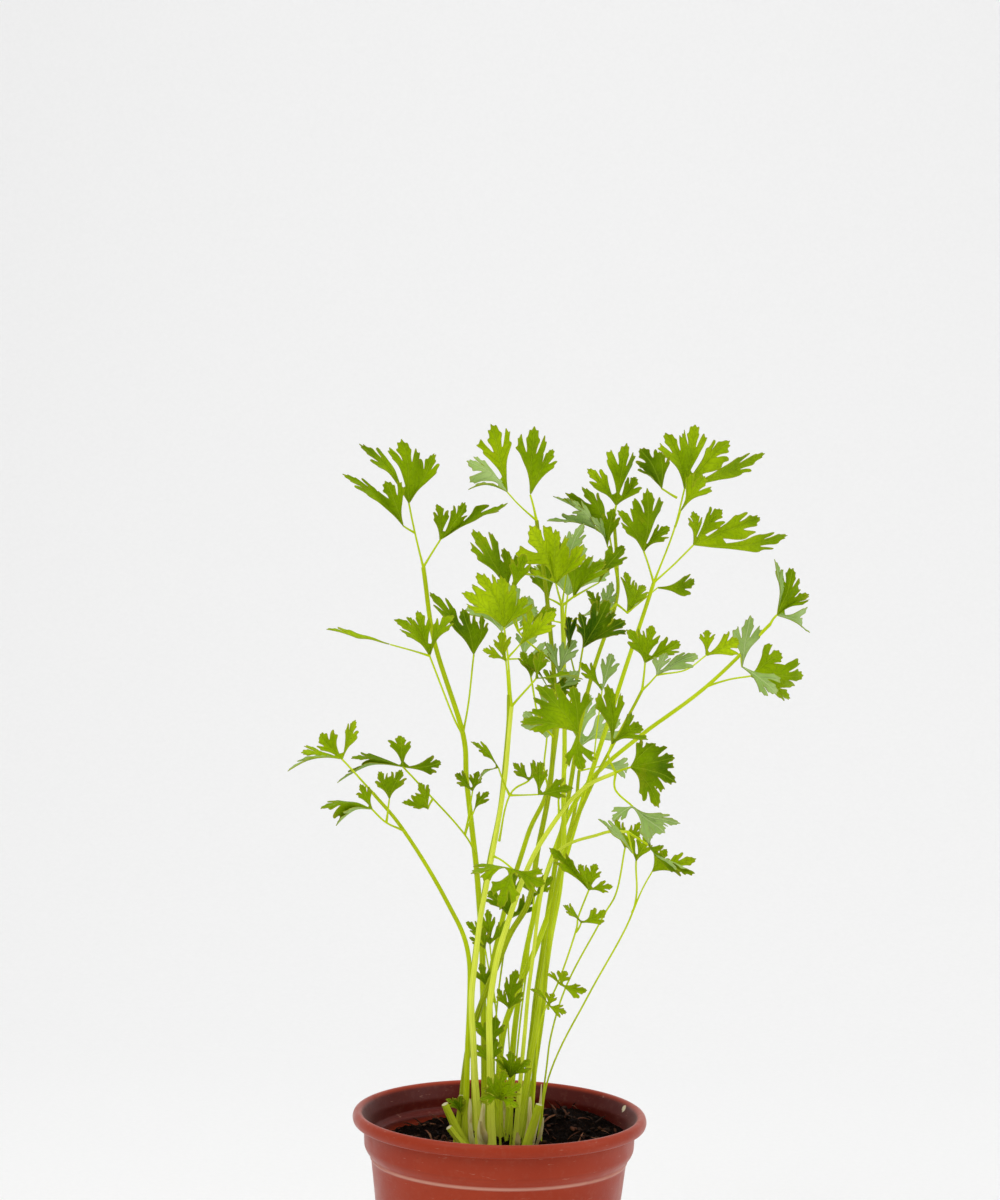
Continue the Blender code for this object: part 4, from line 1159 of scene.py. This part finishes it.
def chip(shape, centre, length, width, thickness, heading, pitch, tone, rng):
    """One splinter of bark: a bent, uneven slip, narrower at its ends."""
    turn = Quaternion((0, 0, 1), heading) @ Quaternion((0, 1, 0), pitch)
    points, faces = [], []
    rings = 4
    for ring in range(rings + 1):
        share = ring / rings
        taper = 0.35 + 0.65 * math.sin(math.pi * share) ** 0.6
        lift = 0.12 * length * math.sin(math.pi * share) * rng.uniform(0.3, 1.0)
        for side, level in ((-1, -1), (1, -1), (1, 1), (-1, 1)):
            local = Vector(((share - 0.5) * length, side * width / 2 * taper * rng.uniform(0.75, 1.15),
                            level * thickness / 2 * taper + lift))
            points.append(centre + turn @ local)
    for ring in range(rings):
        low = ring * 4
        for corner in range(4):
            after = (corner + 1) % 4
            faces.append((low + corner, low + 4 + corner, low + 4 + after, low + after))
    faces.append((0, 1, 2, 3))
    end = rings * 4
    faces.append((end + 3, end + 2, end + 1, end))
    shape.add(points, faces, 0, None, tone)


def make_bark(material):
    """Bark splinters, crumbs and a few long fibres strewn on the mix."""
    rng = random.Random(7)
    shape = Shape()
    for _ in range(BARK_BITS):
        angle = rng.uniform(0, math.tau)
        radius = BARK_REACH * math.sqrt(rng.uniform(0.0, 1.0))
        x, y = radius * math.cos(angle), radius * math.sin(angle)
        long = rng.random() < 0.4
        length = rng.uniform(4, 10) if long else rng.uniform(1.5, 3.5)
        width = rng.uniform(0.5, 1.2) if long else rng.uniform(1.0, 2.4)
        pitch = rng.gauss(0, 0.45)
        level = soil_height(x, y) + crumbly(x, y) + 0.3 + 0.3 * length * abs(math.sin(pitch))
        if radius < CROWN_RADIUS:
            level = max(level, crown_level(radius) + 0.3)
        tone = rng.choice((0.1, 0.2, 0.3, 0.5, 0.65, 0.8)) if long else rng.uniform(0.0, 0.55)
        centre = Vector((x, y, level))
        chip(shape, centre, length, width, width * 0.45, rng.uniform(0, math.tau), pitch, tone, rng)
    finish_piece(shape.build("bark_bits", [material], 40.0), "soil")


def crown_level(radius):
    return CROWN_TOP - 0.4 - 5.5 * (radius / CROWN_RADIUS) ** 2


def make_crown(materials):
    """The crown: a low rough mound under the stalks and the taproot below it, with the cut stubs on it."""
    profile = [(0.0, CROWN_TOP - 0.4)]
    profile += [(radius, crown_level(radius)) for radius in range(1, 22)]
    profile += [(CROWN_RADIUS, 94.0), (18.5, 86.0), (10.0, 70.0), (4.0, 48.0), (0.0, 30.0)]

    def spot(radius, height, angle):
        x, y = radius * math.cos(angle), radius * math.sin(angle)
        rough = crumbly(x * 1.3, y * 1.3) * 0.7 if height > 94.5 else 0.0
        return Vector((x, y, height - 0.4 + rough))

    shape = Shape()
    shape.add(*lathe(profile, 90, spot), 3)
    for radius, foot, end in STUBS:
        foot, end = Vector(foot), Vector(end)
        route = [foot.lerp(end, step / 8) for step in range(9)]
        for step, spot in enumerate(route):
            route[step] = spot - Vector((0, 0, STUB_SAG * math.sin(math.pi * step / 8)))
        stem(shape, route, lambda run, wide=radius: wide * (1.25 - 0.3 * run / 20), 22, 7, 0.5, (STEM, 4))
    finish_piece(shape.build("root_crown", materials, 50.0), "crown", "root_crown")


# Dry sheaths round the stalk feet: foot, tip, width, and how brown it is.
SHEATHS = [
    ((-12, -9, 98), (-13.5, -14, 120), 3.4, 0.1),
    ((-8, -14, 98), (-7.5, -19, 119), 4.2, 0.0),
    ((-4, -16, 98), (-8.5, -22, 112), 3.0, 0.5),
    ((12, -10, 98), (13.5, -12, 121), 3.6, 0.25),
    ((15, -6, 98), (18.5, -9, 126), 2.6, 0.2),
    ((16, -12, 98), (19.5, -17, 113), 2.4, 0.35),
    ((8, -16, 97), (8.0, -21, 107), 3.0, 0.7),
    ((-16, -2, 98), (-19.0, 0, 113), 3.0, 0.5),
    ((2, 13, 98), (1.0, 19, 116), 3.6, 0.3),
    ((-7, 12, 98), (-9.0, 18, 112), 3.2, 0.4),
]


def make_sheaths(material):
    """Dry papery leaf sheaths, each a thin trough that hugs the foot of a stalk."""
    rng = random.Random(11)
    shape = Shape()
    rows, columns = SHEATH_ROWS, SHEATH_COLUMNS
    for foot, tip, width, brown in SHEATHS:
        foot, tip = Vector(foot), Vector(tip)
        along = (tip - foot).normalized()
        outward = Vector((foot.x, foot.y, 0.0)).normalized()
        side = along.cross(outward).normalized()
        outward = side.cross(along)
        layers = []
        for offset in (SHEATH_THICKNESS / 2, -SHEATH_THICKNESS / 2):
            layer = []
            for row in range(rows + 1):
                share = row / rows
                reach = width / 2 * (1.0 - 0.75 * share ** 3) * (1.0 + 0.15 * math.sin(share * 9 + foot.x))
                for column in range(columns + 1):
                    angle = (column / columns * 2 - 1) * 1.25
                    ragged = noise.noise(Vector((column * 1.3, share * 3.0, foot.x))) * 1.2 * share
                    centre = foot.lerp(tip, share) + outward * (0.8 * math.sin(math.pi * share) - 0.6)
                    spot = centre + side * (reach + offset) * math.sin(angle)
                    spot += outward * (reach + offset) * (math.cos(angle) - 0.4) + along * ragged
                    layer.append(spot)
            layers.append(layer)
        count = (rows + 1) * (columns + 1)
        faces = []
        for row in range(rows):
            for column in range(columns):
                a = row * (columns + 1) + column
                b, c, d = a + 1, a + columns + 2, a + columns + 1
                faces.append((a, b, c, d))
                faces.append((d + count, c + count, b + count, a + count))
        loop = [*range(columns + 1)]
        loop += [row * (columns + 1) + columns for row in range(1, rows + 1)]
        loop += [rows * (columns + 1) + column for column in range(columns - 1, -1, -1)]
        loop += [row * (columns + 1) for row in range(rows - 1, 0, -1)]
        for a, b in zip(loop, [*loop[1:], loop[0]]):
            faces.append((b, a, a + count, b + count))
        shape.add([*layers[0], *layers[1]], faces, 0, None, brown + rng.uniform(0, 0.1))
    finish_piece(shape.build("dry_sheaths", [material], 60.0), "crown")


# ---------------------------------------------------------------- studio


def make_stage(material):
    """A pale floor that curves up into a backdrop."""
    foot = STAGE_BACK - STAGE_BEND
    profile = [(STAGE_FRONT, 0.0), (foot, 0.0)]
    for step in range(1, BEND_STEPS + 1):
        angle = math.pi / 2 * step / BEND_STEPS
        profile.append((foot + STAGE_BEND * math.sin(angle), STAGE_BEND * (1 - math.cos(angle))))
    profile.append((STAGE_BACK, STAGE_TOP))
    shape = Shape()
    points = [(x, y, z - 0.2) for y, z in profile for x in (-STAGE_WIDTH, STAGE_WIDTH)]
    faces = [(2 * row, 2 * row + 1, 2 * row + 3, 2 * row + 2) for row in range(len(profile) - 1)]
    shape.add(points, faces, 0)
    shape.build("studio_floor", [material], 60.0)


def softbox(name, place, aim, size, power):
    data = bpy.data.lights.new(name, "AREA")
    data.shape = "SQUARE"
    data.size = size
    data.energy = power
    light = bpy.data.objects.new(name, data)
    light.location = place
    light.rotation_euler = (Vector(aim) - Vector(place)).to_track_quat("-Z", "Y").to_euler()
    bpy.context.scene.collection.objects.link(light)


def make_studio():
    world = bpy.data.worlds.new("studio")
    world.use_nodes = True
    background = world.node_tree.nodes["Background"]
    background.inputs["Color"].default_value = (1.0, 1.0, 1.0, 1.0)
    background.inputs["Strength"].default_value = 0.6
    bpy.context.scene.world = world
    bpy.context.scene.view_settings.view_transform = "Standard"
    middle = (0.0, 0.0, 0.25)
    softbox("key", (-0.9, -1.1, 1.5), middle, 1.1, 10.0)
    softbox("fill", (1.4, -0.5, 0.9), middle, 1.2, 6.0)
    softbox("top", (0.1, 0.2, 1.9), middle, 1.4, 8.0)


def make_camera():
    """Looks along +Y from a little above the leaves' middle, turned slightly about its own axis."""
    data = bpy.data.cameras.new("camera")
    data.sensor_width = 36.0
    data.lens = LENS
    camera = bpy.data.objects.new("camera", data)
    tilt = Matrix.Rotation(CAMERA_TILT, 4, "X")
    roll = Matrix.Rotation(CAMERA_ROLL, 4, "Z")
    camera.matrix_world = Matrix.Translation(CAMERA_PLACE * MM) @ tilt @ roll
    bpy.context.scene.collection.objects.link(camera)
    bpy.context.scene.camera = camera


def main():
    noise.seed_set(NOISE_SEED)
    make_studio()
    make_camera()
    make_stage(stage_material())
    leaf_top, leaf_under, green_stem = leaf_top_material(), leaf_under_material(), stem_material()
    soil = soil_material()
    plant = [leaf_top, leaf_under, green_stem]
    make_pot(pot_material())
    make_soil(soil)
    make_bark(bark_material())
    make_crown([*plant, soil, cut_end_material()])
    make_sheaths(sheath_material())
    for name, (foot_radius, top_radius, route) in STALKS.items():
        stalk_piece(name, foot_radius, top_radius, route, plant)
    for name, shoots in LEAVES.items():
        leaf_piece(name, shoots, TWIG_RADIUS, 2, plant)
    for name, (radius, shoots) in YOUNG_LEAVES.items():
        leaf_piece(name, shoots, radius, 3, plant)


main()
